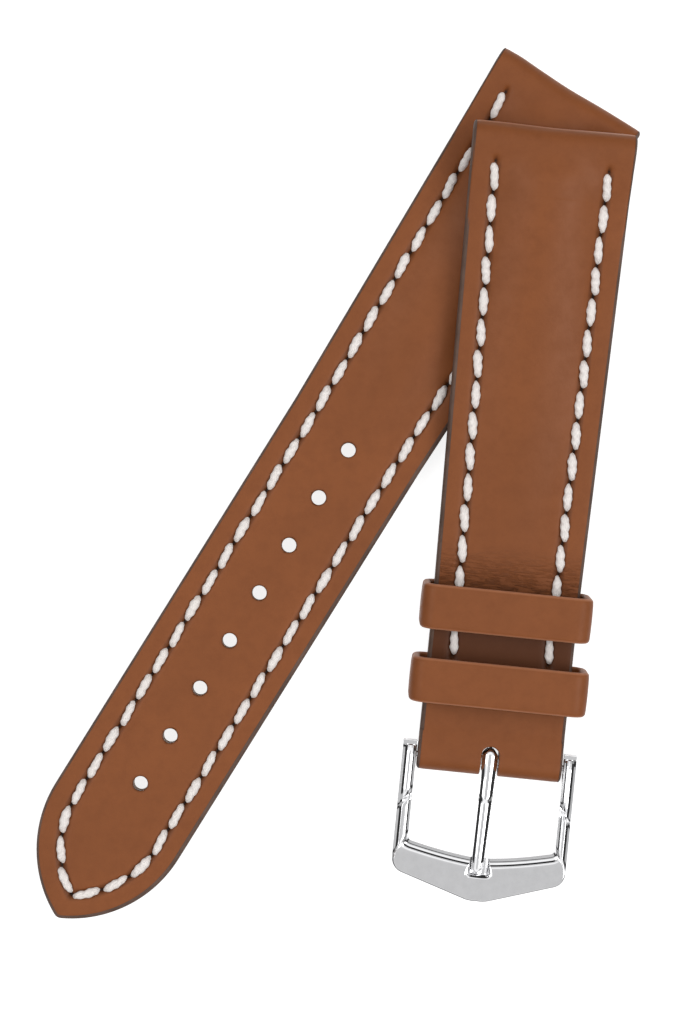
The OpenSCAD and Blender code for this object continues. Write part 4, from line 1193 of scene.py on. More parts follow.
def section_edge(arm, bar, front, line, aim):
    """A polished edge of the frame's section at each station: the arm's profile turning into the front bar's.
    Its table holds widths square to the line, so it is wider where the section crosses it at a slant."""
    ahead = np.gradient(line, axis=0)
    ahead /= np.linalg.norm(ahead, axis=1)[:, None]
    square = np.abs(aim[:, 0] * ahead[:, 1] - aim[:, 1] * ahead[:, 0])[:, None, None]
    edge = arm * (1 - front)[..., None] + bar * front[..., None]
    return edge / np.concatenate([square, np.ones_like(square)], -1)


def frame_piece(size, place, material):
    """The buckle's frame: a ring section carried from ear to ear. At each station the section runs from the
    inner to the outer line: up the inside, over a narrow edge on the arms or a shallow bevel on the front
    bar, across the top, down a steep facet outside and back underneath. Heights follow the round ears, the
    arch under the arms, the thin front bar, the fine line beside its bevel and the notch for the tang."""
    inner, outer = plan_lines(size)
    top = size.height / 2
    w = np.linalg.norm(outer - inner, axis=1)[:, None]
    aim = (outer - inner) / w
    front = smooth_step(inner[:, 0], BAR_FROM, BAR_TO)[:, None]
    half = (top / EAR_LINE[-1, 1] * np.interp(inner[:, 0] + top, *EAR_LINE.T))[:, None]
    low_round = np.minimum(0.3, half * 0.4)
    shrink = np.clip(half / 1.3, 0, 1) * (0.1 + 0.9 * smooth_step(inner[:, :1] + top, 0.48, 0.6))
    k = np.linspace(0, 1, 7)[None, :]
    arc_up, arc_in = np.sin(k * math.pi / 2), 1 - np.cos(k * math.pi / 2)
    sides = np.linspace(0, 1, 5)[None, 1:-1]
    inside = section_edge(ARM_INSIDE, BAR_INSIDE, front, inner, aim)
    outside = section_edge(ARM_OUTSIDE, BAR_OUTSIDE, front, outer, aim)
    start, stop = inside[:, -1:, 0], w - outside[:, :1, 0]
    spread = np.linspace(0, 1, 26)[None, 1:-1] * (1 - front) + BAR_ACROSS[None, :] * front
    under = np.linspace(0, 1, 8)[None, 1:-1]
    parts = [low_round * (1 - arc_up), 0 * sides + 0 * w, inside[..., 0], start + (stop - start) * spread,
             w - outside[..., 0], w + 0 * sides, w - low_round * arc_in,
             w - low_round + (2 * low_round - w) * under]
    marks = np.cumsum([0] + [part.shape[1] for part in parts[:-1]])
    foot_in, wall_in, edge_in, crest, edge_out, wall_out, foot_out = [
        slice(i, j) for i, j in zip(marks[:-1], marks[1:])]
    u = np.concatenate(parts, 1)
    x = inner[:, :1] + aim[:, :1] * u
    y = inner[:, 1:] + aim[:, 1:] * u
    arch = ARCH_HIGH * np.clip(1 - ((x - ARCH_MIDDLE) / ARCH_HALF) ** 2, 0, 1) ** 1.2
    floor = np.where(x < ARCH_FROM, -half, -top + arch)
    thin = (1 - smooth_step(np.abs(y), 8.5, 9.3)) * (x > 8)
    floor = floor * (1 - thin) + (top - BAR_THICK) * thin
    past = u[:, crest] - start
    beside = past / (stop - start) - 0.5
    past_twist = x[:, crest] - TWIST_AT - TWIST_LEAN * beside
    lower = smooth_step(past_twist, -0.5, 0.5)
    arm_wave = (1 - front) * (-0.25 * beside ** 2 * (1 - lower) - 0.07 * (0.5 - beside) ** 2 * lower
                              - 0.3 * np.exp(-(past_twist / np.where(past_twist < 0, 0.4, 0.32)) ** 2))
    bar_wave = -front * 0.2 * np.exp(-past / 0.5)
    z = floor.copy()
    z[:, foot_in] += low_round * arc_in
    z[:, foot_out] += low_round * (1 - arc_up)
    z[:, crest] = half + (arm_wave + bar_wave) * shrink
    z[:, edge_in] = z[:, crest][:, :1] - inside[..., 1] * shrink
    z[:, edge_out] = z[:, crest][:, -1:] - outside[..., 1] * shrink
    low_in, high_in = floor[:, wall_in] + low_round, z[:, edge_in][:, :1]
    z[:, wall_in] = low_in + (high_in - low_in) * sides
    low_out, high_out = floor[:, wall_out] + low_round, z[:, edge_out][:, -1:]
    z[:, wall_out] = high_out + (low_out - high_out) * sides
    beside_notch = np.interp(np.abs(y), *NOTCH_SIDE.T, right=FAR)
    past_notch = np.interp(x, *NOTCH_FRONT.T, right=FAR)
    notch = top + np.maximum(beside_notch, past_notch)
    z = np.where(x > INNER_MIDDLE - 0.6, np.minimum(z, notch), z)
    points, faces = capped(np.stack([x, y, np.maximum(z, floor)], -1))
    return make_piece("buckle_frame_polished", [plain_shell(place, points, faces)], material)


def tang_piece(size, place, material):
    """The tang: a bar with a domed top carried along its middle line, from a round tip back along the arm and
    once round the spring bar, with a small step where the rolled eye ends. The section follows a table of
    facets on top and a sine raised to a power below, which squares it."""
    tip = size.tang_length + TIP_OVER
    tip_turn = np.radians(np.linspace(2, 90, 14))
    cap = tip - TIP_WIDTH / 2 + TIP_WIDTH / 2 * np.cos(tip_turn)
    line = np.concatenate([cap, steps((tip - TIP_WIDTH / 2 - 0.2, -0.25), (6.4, -0.06), (5.2, -0.25), 0.0)])
    turn = np.radians(np.linspace(90, 440, 90))[1:]
    behind = (turn > math.pi / 2) & (turn < math.pi)
    square = (np.abs(np.cos(turn)) ** EYE_POWER + np.abs(np.sin(turn)) ** EYE_POWER) ** (-1 / EYE_POWER)
    eye = EYE_RADIUS * np.where(behind, square, 1.0)
    mid_x = np.concatenate([line, EYE_STRETCH * eye * np.cos(turn)])
    mid_z = np.concatenate([ARM_LEVEL + 0.055 * (1 - smooth_step(line, 0, 2.5)), eye * np.sin(turn)])
    along = np.stack([np.gradient(mid_x), np.gradient(mid_z)], -1)
    along /= np.linalg.norm(along, axis=1)[:, None]
    up = np.stack([along[:, 1], -along[:, 0]], -1)
    half = size.tang_width / 2 + (TIP_WIDTH - size.tang_width) / 2 * np.clip(mid_x / tip, 0, 1)
    round_tip = np.sqrt(np.clip((TIP_WIDTH / 2) ** 2 - (mid_x - tip + TIP_WIDTH / 2) ** 2, 0, None))
    half = np.where(mid_x > tip - TIP_WIDTH / 2, round_tip, half)
    half = half + 0.07 * (1 - smooth_step(mid_x, 0.2, 1.6))
    round_back = np.sqrt(np.clip(1.0 - (np.clip(-mid_x - 0.48, 0, None)) ** 2, 0.06, None))
    half = np.where(mid_x < -0.48, np.minimum(half, round_back), half)
    deep = TANG_THIN + (TANG_THICK - TANG_THIN) * smooth_step(mid_x, 2.6, 4.6)
    deep[:len(cap)] = TANG_THICK * np.sqrt(np.clip(1 - (np.cos(tip_turn) * 0.92) ** 2, 0, None))
    deep, mid_x, half = deep[:, None], mid_x[:, None], half[:, None]
    around = np.radians(np.linspace(0, 360, 49)[:-1])
    c, s = np.cos(around), np.sin(around)
    y = half * c
    fall = np.minimum(0.437 * half, 1.5 * deep)
    step_at = STEP_AT - STEP_LAG * np.abs(y)
    step = STEP_HIGH * smooth_step(mid_x, step_at - 0.05, step_at + 0.12)
    step = (step + 0.06 * np.clip(mid_x - 12, 0, 2)) * (np.arange(len(mid_x)) < len(line))[:, None]
    low_edge = deep - step - fall
    arc = np.interp(np.abs(c), *TANG_ARC.T)
    lift = low_edge + np.where(s > 0, fall * arc, -(deep + low_edge) * np.abs(s) ** 0.45)
    x = mid_x + up[:, :1] * lift
    z = mid_z[:, None] + up[:, 1:] * lift
    y = y - TANG_LEAN * np.clip((mid_x - 1.5) / 12, 0, 1)
    points, faces = capped(np.stack([x, y, z], -1))
    return make_piece("buckle_tang_polished", [plain_shell(place, points, faces)], material)


# Finishes

# Colours that no property holds: the tape, the felt, a keeper's lighter rims, partly a painted highlight, and the
# painted highlight along an upper's lug roll
TAPE_COLOUR = (0.72, 0.69, 0.62)
FELT_COLOUR = (0.6, 0.57, 0.5)
RIM_COLOUR = (0.45, 0.19, 0.10)
ROLL_HIGHLIGHT_COLOUR = (0.48, 0.21, 0.12)
# Steel with more lines to the metre than this is turned, not polished
TURNED_FROM = 2000


def dial(node, **values):
    """Sets a node's inputs by their names, with an underscore for each space."""
    for name, value in values.items():
        node.inputs[name.replace("_", " ")].default_value = value


class Nodes:
    """A material's node tree with short calls for its nodes and links. Where a call feeds an input, it takes
    a number, a colour of three numbers, or a node's output as a pair of the node and the output's name."""

    def __init__(self, name):
        self.material = bpy.data.materials.new(name)
        self.material.use_nodes = True
        self.tree = self.material.node_tree
        self.tree.nodes.clear()
        self.out = self.add("ShaderNodeOutputMaterial")
        self.shader = self.add("ShaderNodeBsdfPrincipled")
        self.join(self.shader, "BSDF", self.out, "Surface")

    def add(self, kind, **settings):
        """A new node; a setting is one of its attributes, or where it starts with a capital, an input."""
        node = self.tree.nodes.new(kind)
        for key, value in settings.items():
            if key[0].isupper():
                dial(node, **{key: value})
            else:
                setattr(node, key, value)
        return node

    def join(self, a, out, b, into):
        """Links one node's output to another's input."""
        self.tree.links.new(a.outputs[out], b.inputs[into])

    def feed(self, part, socket):
        """Links an output to a socket, or sets the socket to a number or colour."""
        if isinstance(part, tuple) and isinstance(part[0], bpy.types.Node):
            self.tree.links.new(part[0].outputs[part[1]], socket)
        else:
            socket.default_value = (*part, 1) if isinstance(part, tuple) else part

    def noise(self, source, out, scale, detail, rough=0.55, stretch=None):
        """A noise texture over some coordinates, which may be stretched first."""
        node = self.add("ShaderNodeTexNoise", noise_dimensions="3D", Scale=scale, Detail=detail,
                        Roughness=rough)
        if stretch:
            mapping = self.add("ShaderNodeMapping", Scale=stretch)
            self.join(source, out, mapping, "Vector")
            source, out = mapping, "Vector"
        self.join(source, out, node, "Vector")
        return node

    def ramp(self, source, out, low, high, start=0.0, end=1.0):
        """An output's span from low to high, spread over another span."""
        node = self.add("ShaderNodeMapRange", clamp=True, From_Min=low, From_Max=high, To_Min=start,
                        To_Max=end)
        self.join(source, out, node, "Value")
        return node

    def math(self, operation, a, b):
        """An operation on two numbers or outputs."""
        node = self.add("ShaderNodeMath", operation=operation)
        self.feed(a, node.inputs[0])
        self.feed(b, node.inputs[1])
        return node

    def mix(self, factor, a, b):
        """Colour a to colour b by a factor."""
        node = self.add("ShaderNodeMix", data_type="RGBA")
        for part, index in ((factor, 0), (a, 6), (b, 7)):
            self.feed(part, node.inputs[index])
        return node

    def blend(self, colour, share, most, other):
        """A mixed colour taken towards another by a share from 0 to 1 times the most of it there may be."""
        return self.mix((self.math("MULTIPLY", share, most), "Value"), (colour, 2), other)

    def window(self, surface, rise, fall):
        """One along a stretch of strap and zero elsewhere. Each end of the stretch is a pair of places in
        millimetres: where it is still zero, and where it is one."""
        return self.math("MULTIPLY", (self.ramp(surface, "X", *on_map(*rise)), "Result"),
                         (self.ramp(surface, "X", *on_map(*fall)), "Result"))

    def colour(self, node):
        """Gives the shader a mix's colour."""
        self.join(node, 2, self.shader, "Base Color")

    def bump(self, source, out, strength, distance, before=None):
        """A bump from an output's heights, on top of another bump if there is one before it."""
        node = self.add("ShaderNodeBump", Strength=strength, Distance=distance)
        self.join(source, out, node, "Height")
        if before:
            self.join(before, "Normal", node, "Normal")
        return node

    def finished(self, bump, **values):
        """The material, once its bump is joined to the shader and the shader's plain inputs are set."""
        self.join(bump, "Normal", self.shader, "Normal")
        dial(self.shader, **values)
        return self.material


def on_map(*places):
    """Places along a strap in millimetres as surface coordinates."""
    return [place / 1000 / UV_SPAN for place in places]


def scaled(colour, factor):
    """A colour made lighter or darker by a factor, up to full white."""
    return tuple(min(1.0, c * factor) for c in colour)


def leather(name, base, dark, creased, rims):
    """Smooth calf leather: slow clouds and a fine mottle between two browns, with painted shade in the stitch
    holes, the stitch groove and round the holes, and a painted highlight along the lug roll, or for a keeper,
    lighter rims that are partly the edges' own tone and partly a painted highlight; fine grain and pores, and
    for a creased strap, fine creases across it in one place, with painted shade in the creases, before and
    between the keepers and under the fixed one."""
    n = Nodes(name)
    place = n.add("ShaderNodeTexCoord")
    cloud = n.noise(place, "Object", 70, 4, 0.6)
    mottle = n.noise(place, "Object", 520, 5, 0.7)
    pressed = n.add("ShaderNodeAttribute", attribute_name="press")
    surface = n.add("ShaderNodeSeparateXYZ")
    n.join(place, "UV", surface, "Vector")
    clouds = n.ramp(cloud, "Fac", 0.36, 0.66)
    specks = n.ramp(mottle, "Fac", 0.42, 0.72)
    colour = n.mix((clouds, "Result"), scaled(base, 1.04), scaled(base, 0.93))
    colour = n.blend(colour, (specks, "Result"), 0.35, dark)
    # A keeper's rims are lighter, partly their own tone and partly a painted highlight.
    if rims:
        colour = n.blend(colour, (pressed, "Fac"), 0.8, rims)
    else:
        # Painted shade in the stitch pits, the stitch groove and round the holes' lips.
        painted_shade = n.math("POWER", (pressed, "Fac"), 1.6)
        colour = n.mix((painted_shade, "Value"), (colour, 2), scaled(dark, 0.12))
        # Painted highlight along the front of the lug roll, lighter from there round under the strap.
        roll_highlight = n.ramp(surface, "X", *on_map(-0.25, -0.8))
        colour = n.blend(colour, (roll_highlight, "Result"), 0.9, ROLL_HIGHLIGHT_COLOUR)
    grain = n.noise(place, "Object", 2600, 3, 0.6)
    pores = n.add("ShaderNodeTexVoronoi", feature="DISTANCE_TO_EDGE", Scale=1500)
    n.join(place, "Object", pores, "Vector")
    bump = n.bump(grain, "Fac", 0.16, 0.00006)
    bump = n.bump(pores, "Distance", 0.14, 0.00008, bump)
    bump = n.bump(cloud, "Fac", 0.2, 0.0004, bump)
    if creased:
        here = n.window(surface, (51, 57.5), (62, 58))
        crease = n.noise(place, "UV", 150, 4, 0.65, (3.4, 0.5, 1))
        fine = n.math("MULTIPLY", (here, "Value"), (n.ramp(crease, "Fac", 0.46, 0.60), "Result"))
        bump = n.bump(fine, "Value", 0.8, 0.00014, bump)
        # Painted shade: darker before the free keeper, in the creases, between the keepers and under the fixed
        # keeper.
        keeper_shade = n.window(surface, (57, 61), (71.5, 70))
        colour = n.blend(colour, (here, "Value"), 0.28, scaled(dark, 0.6))
        colour = n.blend(colour, (fine, "Value"), 0.5, scaled(dark, 0.35))
        colour = n.blend(colour, (keeper_shade, "Value"), 0.74, scaled(dark, 0.35))
    n.colour(colour)
    n.join(n.ramp(mottle, "Fac", 0.3, 0.8, 0.45, 0.58), "Result", n.shader, "Roughness")
    return n.finished(bump, Specular_IOR_Level=0.2, Sheen_Weight=0.06, Sheen_Roughness=0.4,
                      Sheen_Tint=(1.0, 0.75, 0.6, 1))


def lining_leather(name, colour):
    """Matt lining leather: pale clouds and a fine speckle, with painted shade in the stitch groove and prick
    holes.
    """
    n = Nodes(name)
    place = n.add("ShaderNodeTexCoord")
    cloud = n.noise(place, "Object", 110, 4, 0.6)
    fine = n.noise(place, "Object", 1500, 4, 0.7)
    pressed = n.add("ShaderNodeAttribute", attribute_name="press")
    mixed = n.mix((n.ramp(cloud, "Fac", 0.35, 0.65), "Result"), scaled(colour, 1.05), scaled(colour, 0.86))
    mixed = n.blend(mixed, (n.ramp(fine, "Fac", 0.45, 0.7), "Result"), 0.35, scaled(colour, 0.7))
    # Painted shade in the stitch groove and prick holes.
    n.colour(n.blend(mixed, (pressed, "Fac"), 0.5, scaled(colour, 0.5)))
    return n.finished(n.bump(fine, "Fac", 0.35, 0.00008), Roughness=0.72, Specular_IOR_Level=0.3)


def felt(name, colour):
    """Pressed felt: short fibres, a little longer upright, between two greys."""
    n = Nodes(name)
    place = n.add("ShaderNodeTexCoord")
    hair = n.noise(place, "Object", 1400, 6, 0.75, (1, 1, 2.5))
    n.colour(n.mix((n.ramp(hair, "Fac", 0.35, 0.65), "Result"), colour, scaled(colour, 0.72)))
    return n.finished(n.bump(hair, "Fac", 0.6, 0.0001), Roughness=0.9, Sheen_Weight=0.25)


def woven_tape(name, colour):
    """Woven tape: bands along it times bands across it."""
    n = Nodes(name)
    place = n.add("ShaderNodeTexCoord")
    bands = [n.add("ShaderNodeTexWave", wave_type="BANDS", bands_direction=way, Scale=90, Distortion=0.4)
             for way in ("X", "Y")]
    for band in bands:
        n.join(place, "UV", band, "Vector")
    weave = n.math("MULTIPLY", (bands[0], "Fac"), (bands[1], "Fac"))
    n.colour(n.mix((weave, "Value"), scaled(colour, 0.6), colour))
    return n.finished(n.bump(weave, "Value", 0.5, 0.0001), Roughness=0.85)


def waxed_thread(name, colour):
    """Waxed thread: fine fibres that run along each stitch at a slant, and painted shade between them."""
    n = Nodes(name)
    place = n.add("ShaderNodeTexCoord")
    mapping = n.add("ShaderNodeMapping", Rotation=(0, 0, 0.55), Scale=(6, 60, 1))
    n.join(place, "UV", mapping, "Vector")
    fibre = n.noise(mapping, "Vector", 1.4, 4, 0.6)
    fuzz = n.noise(place, "Object", 3800, 3, 0.6)
    # Painted shade between the fibres.
    n.colour(n.mix((n.ramp(fibre, "Fac", 0.42, 0.68), "Result"), colour, scaled(colour, 0.62)))
    bump = n.bump(fuzz, "Fac", 0.25, 0.00004, n.bump(fibre, "Fac", 0.7, 0.00006))
    return n.finished(bump, Roughness=0.55, Sheen_Weight=0.15)


def edge_paint(name, colour):
    """Edge paint: soft streaks drawn along the edge and a fine bloom on its gloss."""
    n = Nodes(name)
    place = n.add("ShaderNodeTexCoord")
    drag = n.noise(place, "Object", 260, 4, 0.6, (1, 1, 3))
    fine = n.noise(place, "Object", 1700, 3, 0.6)
    n.colour(n.mix((n.ramp(drag, "Fac", 0.35, 0.65), "Result"), scaled(colour, 1.25), scaled(colour, 0.75)))
    n.join(n.ramp(fine, "Fac", 0.3, 0.7, 0.5, 0.65), "Result", n.shader, "Roughness")
    bump = n.bump(fine, "Fac", 0.15, 0.00005, n.bump(drag, "Fac", 0.3, 0.0001))
    return n.finished(bump, Specular_IOR_Level=0.15)


def steel(name, colour, rough, lines):
    """Steel: a smooth mirror with the faintest polishing haze, or turned steel with rings round its axis."""
    turned = lines > TURNED_FROM
    n = Nodes(name)
    place = n.add("ShaderNodeTexCoord")
    haze = n.noise(place, "Object", 900, 4, 0.6)
    n.colour(n.mix((n.ramp(haze, "Fac", 0.35, 0.7), "Result"), colour, scaled(colour, 0.94)))
    n.join(n.ramp(haze, "Fac", 0.3, 0.75, rough * 0.8, rough * 1.3), "Result", n.shader, "Roughness")
    fine = n.noise(place, "Object", lines, 2, 0.5, (1, 0.1, 1) if turned else None)
    return n.finished(n.bump(fine, "Fac", 0.2 if turned else 0.02, 0.00002), Metallic=1.0)


def colour_of(name):
    """The colour that the finishes hold under a name."""
    return tuple(getattr(bpy.context.scene.strap_finishes, name))


def shared(name, maker, *args):
    """The material of that name, made by its maker when it is first needed."""
    return bpy.data.materials.get(name) or maker(name, *args)


def leather_of(kind):
    """The upper leather of a kind: plain, with creases and their painted shade, or the keepers' with its lighter
    rims, partly their own tone and partly a painted highlight.
    """
    base, dark = colour_of("leather"), colour_of("leather_dark")
    if kind == "keeper_calf":
        return shared(kind, leather, scaled(base, 1.02), dark, False, RIM_COLOUR)
    return shared(kind, leather, base, dark, kind == "creased_leather", None)


def finish_piece(piece, body, slot, *nodes):
    """Gives a piece to its body and hides the CAD pieces that it stands for. Its slot is not used."""
    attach(piece, body)
    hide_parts(*nodes)


# Each strap's kind, its body, the function that places it and its kind of leather
STRAPS = (("hole", "hole_strap", hole_strap_place, "calf_leather"),
          ("buckle", "buckle_strap", buckle_strap_place, "creased_leather"))


def straps():
    """Each strap in turn: its shape, its place, its body and its kind of leather."""
    scene = bpy.context.scene
    for kind, body, place, skin in STRAPS:
        shape = StrapShape(millimetres(scene.strap_sizes), millimetres(scene.stitch_sizes), kind)
        yield shape, place(), body, skin


# Operators


class MakeUppers(bpy.types.Operator):
    """Make both straps' upper leather"""
    bl_idname = "strap.uppers"
    bl_label = "Upper leather"

    def execute(self, context):
        for shape, place, body, skin in straps():
            piece = upper_piece(shape, place, body + "_upper_leather", leather_of(skin))
            finish_piece(piece, body, "upper_leather", body + "_upper")
        return {"FINISHED"}


class MakeLinings(bpy.types.Operator):
    """Make both straps' lining leather and reinforcement tape"""
    bl_idname = "strap.linings"
    bl_label = "Linings and tapes"

    def execute(self, context):
        lining = shared("lining_calf", lining_leather, colour_of("lining"))
        tape = shared("woven_tape", woven_tape, TAPE_COLOUR)
        for shape, place, body, _ in straps():
            piece = plate_piece(shape, place, body + "_lining_leather", lining, 0, shape.lining,
                                FLAP_END + 0.02, shape.keeper_from - 0.02, True)
            finish_piece(piece, body, "lining_leather", body + "_lining")
            if shape.kind == "hole":
                piece = plate_piece(shape, place, body + "_woven_tape", tape, shape.lining + 0.01,
                                    shape.edge - shape.upper - 0.01, 4.2, shape.length, False)
            else:
                piece = buckle_tape_piece(shape, place, body + "_woven_tape", tape)
            finish_piece(piece, body, "tape", body + "_tape")
        return {"FINISHED"}


class MakePaddings(bpy.types.Operator):
    """Make the padding that crowns each strap"""
    bl_idname = "strap.paddings"
    bl_label = "Paddings"

    def execute(self, context):
        pad = shared("pressed_felt", felt, FELT_COLOUR)
        for shape, place, body, _ in straps():
            piece = padding_piece(shape, place, body + "_felt_padding", pad)
            finish_piece(piece, body, "padding", body + "_padding")
        return {"FINISHED"}


class MakeEdgePaint(bpy.types.Operator):
    """Paint both straps' cut edges"""
    bl_idname = "strap.edge_paint"
    bl_label = "Edge paint"

    def execute(self, context):
        paint = shared("painted_edge", edge_paint, colour_of("edge"))
        for shape, place, body, _ in straps():
            piece = make_piece(body + "_painted_edge", paint_shells(shape, place), paint)
            finish_piece(piece, body, "edge_paint", body + "_edge_paint")
        return {"FINISHED"}


class MakeStitching(bpy.types.Operator):
    """Sew the rows of both straps"""
    bl_idname = "strap.stitching"
    bl_label = "Stitching"

    def execute(self, context):
        thread = shared("waxed_thread", waxed_thread, colour_of("thread"))
        for shape, place, body, _ in straps():
            for row, under in (("needle", False), ("bobbin", True)):
                piece = make_piece(f"{body}_{row}_stitches", stitch_shells(shape, place, under), thread)
                finish_piece(piece, body, "thread", f"{body}_{row}_thread")
        return {"FINISHED"}


class MakeKeepers(bpy.types.Operator):
    """Make the fixed and the free keeper"""
    bl_idname = "strap.keepers"
    bl_label = "Keepers"

    def execute(self, context):
        _, (shape, place, body, _) = straps()
        skin = leather_of("keeper_calf")
        fixed = keeper_piece(shape, place, "fixed_keeper_leather", skin, shape.keeper_from, 0.9, shape.lining,
                             shape.lining)
        finish_piece(fixed, body, "keeper_leather", "fixed_keeper")
        free = keeper_piece(shape, place, "free_keeper_leather", skin,
                            shape.keeper_from - KEEPER_GAP - KEEPER_LENGTH, 0.46, -0.05, KEEPER_LEATHER)
        finish_piece(free, "free_keeper", "keeper_leather", "free_keeper")
        return {"FINISHED"}


class MakeBuckle(bpy.types.Operator):
    """Make the buckle's frame and tang, and finish the spring bar"""
    bl_idname = "strap.buckle"
    bl_label = "Buckle"

    def execute(self, context):
        size = millimetres(context.scene.buckle_sizes)
        mirror = shared("mirror_steel", steel, colour_of("steel"), 0.05, 1200)
        turned = shared("turned_steel", steel, scaled(colour_of("steel"), 0.85), 0.26, 4200)
        place = buckle_place()
        finish_piece(frame_piece(size, place, mirror), "buckle_frame", "polished_steel", "buckle_frame")
        finish_piece(tang_piece(size, place, mirror), "buckle_tang", "polished_steel", "buckle_tang")
        for part in ("tube", "spring", "plunger_left", "plunger_right"):
            mesh = frame["nodes"]["spring_bar_" + part].data
            mesh.materials.clear()
            mesh.materials.append(turned)
        return {"FINISHED"}


class MakeStage(bpy.types.Operator):
    """Make the floor, the lights and the camera"""
    bl_idname = "strap.stage"
    bl_label = "Stage"

    def execute(self, context):
        scene = context.scene
        scene.view_settings.view_transform = "Standard"
        make_floor()
        make_world()
        make_lamps()
        lens = bpy.data.cameras.new("camera")
        lens.sensor_fit = "VERTICAL"
        lens.sensor_height = SENSOR
        lens.lens = SENSOR * FOCAL_PIXELS / PICTURE_PIXELS
        lens.clip_start = 0.01
        camera = bpy.data.objects.new("camera", lens)
        camera.location = [place * MM for place in CAMERA_SPOT]
        scene.collection.objects.link(camera)
        scene.camera = camera
        return {"FINISHED"}


# The camera: height of its sensor in millimetres, focal length and picture height in pixels, and its place
SENSOR = 24.0
FOCAL_PIXELS, PICTURE_PIXELS = 2747, 1024
CAMERA_SPOT = (0.33, -3.52, 340)
# The floor: half its side and its level in metres, its grey and how strongly it glows for what looks at it
FLOOR_HALF, FLOOR_LEVEL = 0.9, -0.00006
FLOOR_GREY, FLOOR_GLOW = 0.42, 0.82
# The studio's brightness by the sine of the angle above the horizon: 0 is the horizon and all below it, 1 is
# straight above
STUDIO = ((0.0, 0.42), (0.17, 0.42), (0.23, 0.04), (0.44, 0.03), (0.475, 0.56), (0.655, 0.62),
          (0.68, 0.95), (0.71, 1.12), (0.90, 1.12), (0.965, 0.66), (1.0, 0.64))
# Each lamp's name, its place and side in metres, and its power in watts
LAMPS = (("lamp_left", (-0.52, 0.10, 0.66), 0.40, 1.5), ("lamp_right", (0.54, -0.12, 0.66), 0.40, 2.6))


def make_floor():
    """A plain pale floor, a fine square grid far wider than the strap."""
    side = np.linspace(-FLOOR_HALF, FLOOR_HALF, 9)
    x, y = np.meshgrid(side, side, indexing="ij")
    points = np.stack([x, y, np.full(x.shape, FLOOR_LEVEL)], -1).reshape(-1, 3)
    mesh = bpy.data.meshes.new("floor")
    mesh.from_pydata(points.tolist(), [], grid_faces(*x.shape).tolist())
    floor = bpy.data.objects.new("floor", mesh)
    bpy.context.scene.collection.objects.link(floor)
    n = Nodes("floor_white")
    seen = n.add("ShaderNodeLightPath")
    direct = n.math("MAXIMUM", (seen, "Is Camera Ray"), (seen, "Is Glossy Ray"))
    direct = n.math("MAXIMUM", (direct, "Value"), (seen, "Is Transmission Ray"))
    glow = n.math("MULTIPLY", (direct, "Value"), FLOOR_GLOW)
    n.join(glow, "Value", n.shader, "Emission Strength")
    dial(n.shader, Base_Color=(FLOOR_GREY, FLOOR_GREY, FLOOR_GREY, 1), Roughness=0.9, Specular_IOR_Level=0.1,
         Emission_Color=(1, 1, 1, 1))
    mesh.materials.append(n.material)


def make_world():
    """A soft studio round the object: grey overhead, white high up, a dark band lower down, as from black
    cards, and a grey horizon, so that polished steel has something to mirror."""
    world = bpy.data.worlds.new("studio")
    bpy.context.scene.world = world
    world.use_nodes = True
    tree = world.node_tree
    tree.nodes.clear()
    out = tree.nodes.new("ShaderNodeOutputWorld")
    place = tree.nodes.new("ShaderNodeTexCoord")
    split = tree.nodes.new("ShaderNodeSeparateXYZ")
    tree.links.new(place.outputs["Generated"], split.inputs["Vector"])
    ramp = tree.nodes.new("ShaderNodeValToRGB")
    ramp.color_ramp.interpolation = "EASE"
    while len(ramp.color_ramp.elements) < len(STUDIO):
        ramp.color_ramp.elements.new(0.5)
    for element, (position, level) in zip(ramp.color_ramp.elements, STUDIO):
        element.position = position
        element.color = (level, level, level * 1.005, 1)
    tree.links.new(split.outputs["Z"], ramp.inputs["Fac"])
    studio = tree.nodes.new("ShaderNodeBackground")
    studio.inputs["Strength"].default_value = 1.0
    tree.links.new(ramp.outputs["Color"], studio.inputs["Color"])
    tree.links.new(studio.outputs["Background"], out.inputs["Surface"])


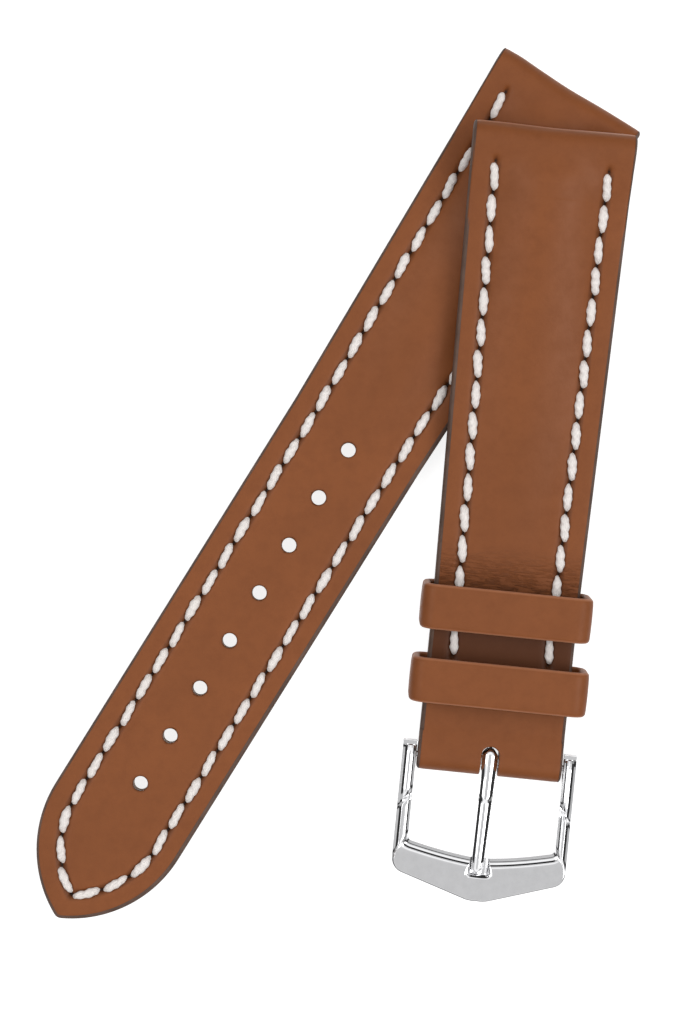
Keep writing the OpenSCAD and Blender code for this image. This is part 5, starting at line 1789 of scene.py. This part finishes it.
def make_lamps():
    """Two broad soft lamps high on either side that face the middle, the right one stronger."""
    for name, spot, size, power in LAMPS:
        lamp = bpy.data.lights.new(name, "AREA")
        lamp.shape = "SQUARE"
        lamp.size = size
        lamp.energy = power
        holder = bpy.data.objects.new(name, lamp)
        holder.location = spot
        aim = -np.array(spot)
        lean = math.atan2(math.hypot(aim[0], aim[1]), -aim[2])
        holder.rotation_euler = (lean, 0, math.atan2(aim[1], aim[0]) - math.pi / 2)
        bpy.context.scene.collection.objects.link(holder)


class StrapPanel(bpy.types.Panel):
    """Sizes, colours and makers of the watch strap"""
    bl_idname = "VIEW3D_PT_strap"
    bl_label = "Watch strap"
    bl_space_type = "VIEW_3D"
    bl_region_type = "UI"
    bl_category = "Strap"

    def draw(self, context):
        for holder, _ in GROUPS:
            group = getattr(context.scene, holder)
            box = self.layout.box()
            for name in group.bl_rna.properties.keys():
                if name not in {"rna_type", "name"}:
                    box.prop(group, name)
        for maker in MAKERS:
            self.layout.operator(maker.bl_idname)


MAKERS = (MakeUppers, MakeLinings, MakePaddings, MakeEdgePaint, MakeStitching, MakeKeepers, MakeBuckle,
          MakeStage)
GROUPS = (("strap_sizes", StrapSizes), ("stitch_sizes", StitchSizes), ("buckle_sizes", BuckleSizes),
          ("strap_finishes", Finishes))


def register():
    """Registers every class and hangs each group of sizes on the scene."""
    for name, group in GROUPS:
        bpy.utils.register_class(group)
        setattr(bpy.types.Scene, name, bpy.props.PointerProperty(type=group))
    for kind in MAKERS + (StrapPanel,):
        bpy.utils.register_class(kind)


def unregister():
    """Takes back what register did, in the opposite order."""
    for kind in (StrapPanel,) + MAKERS[::-1]:
        bpy.utils.unregister_class(kind)
    for name, group in GROUPS[::-1]:
        delattr(bpy.types.Scene, name)
        bpy.utils.unregister_class(group)


def main():
    """Makes every piece and the stage."""
    register()
    bpy.ops.strap.uppers()
    bpy.ops.strap.linings()
    bpy.ops.strap.paddings()
    bpy.ops.strap.edge_paint()
    bpy.ops.strap.stitching()
    bpy.ops.strap.keepers()
    bpy.ops.strap.buckle()
    bpy.ops.strap.stage()


if __name__ == "__main__":
    main()
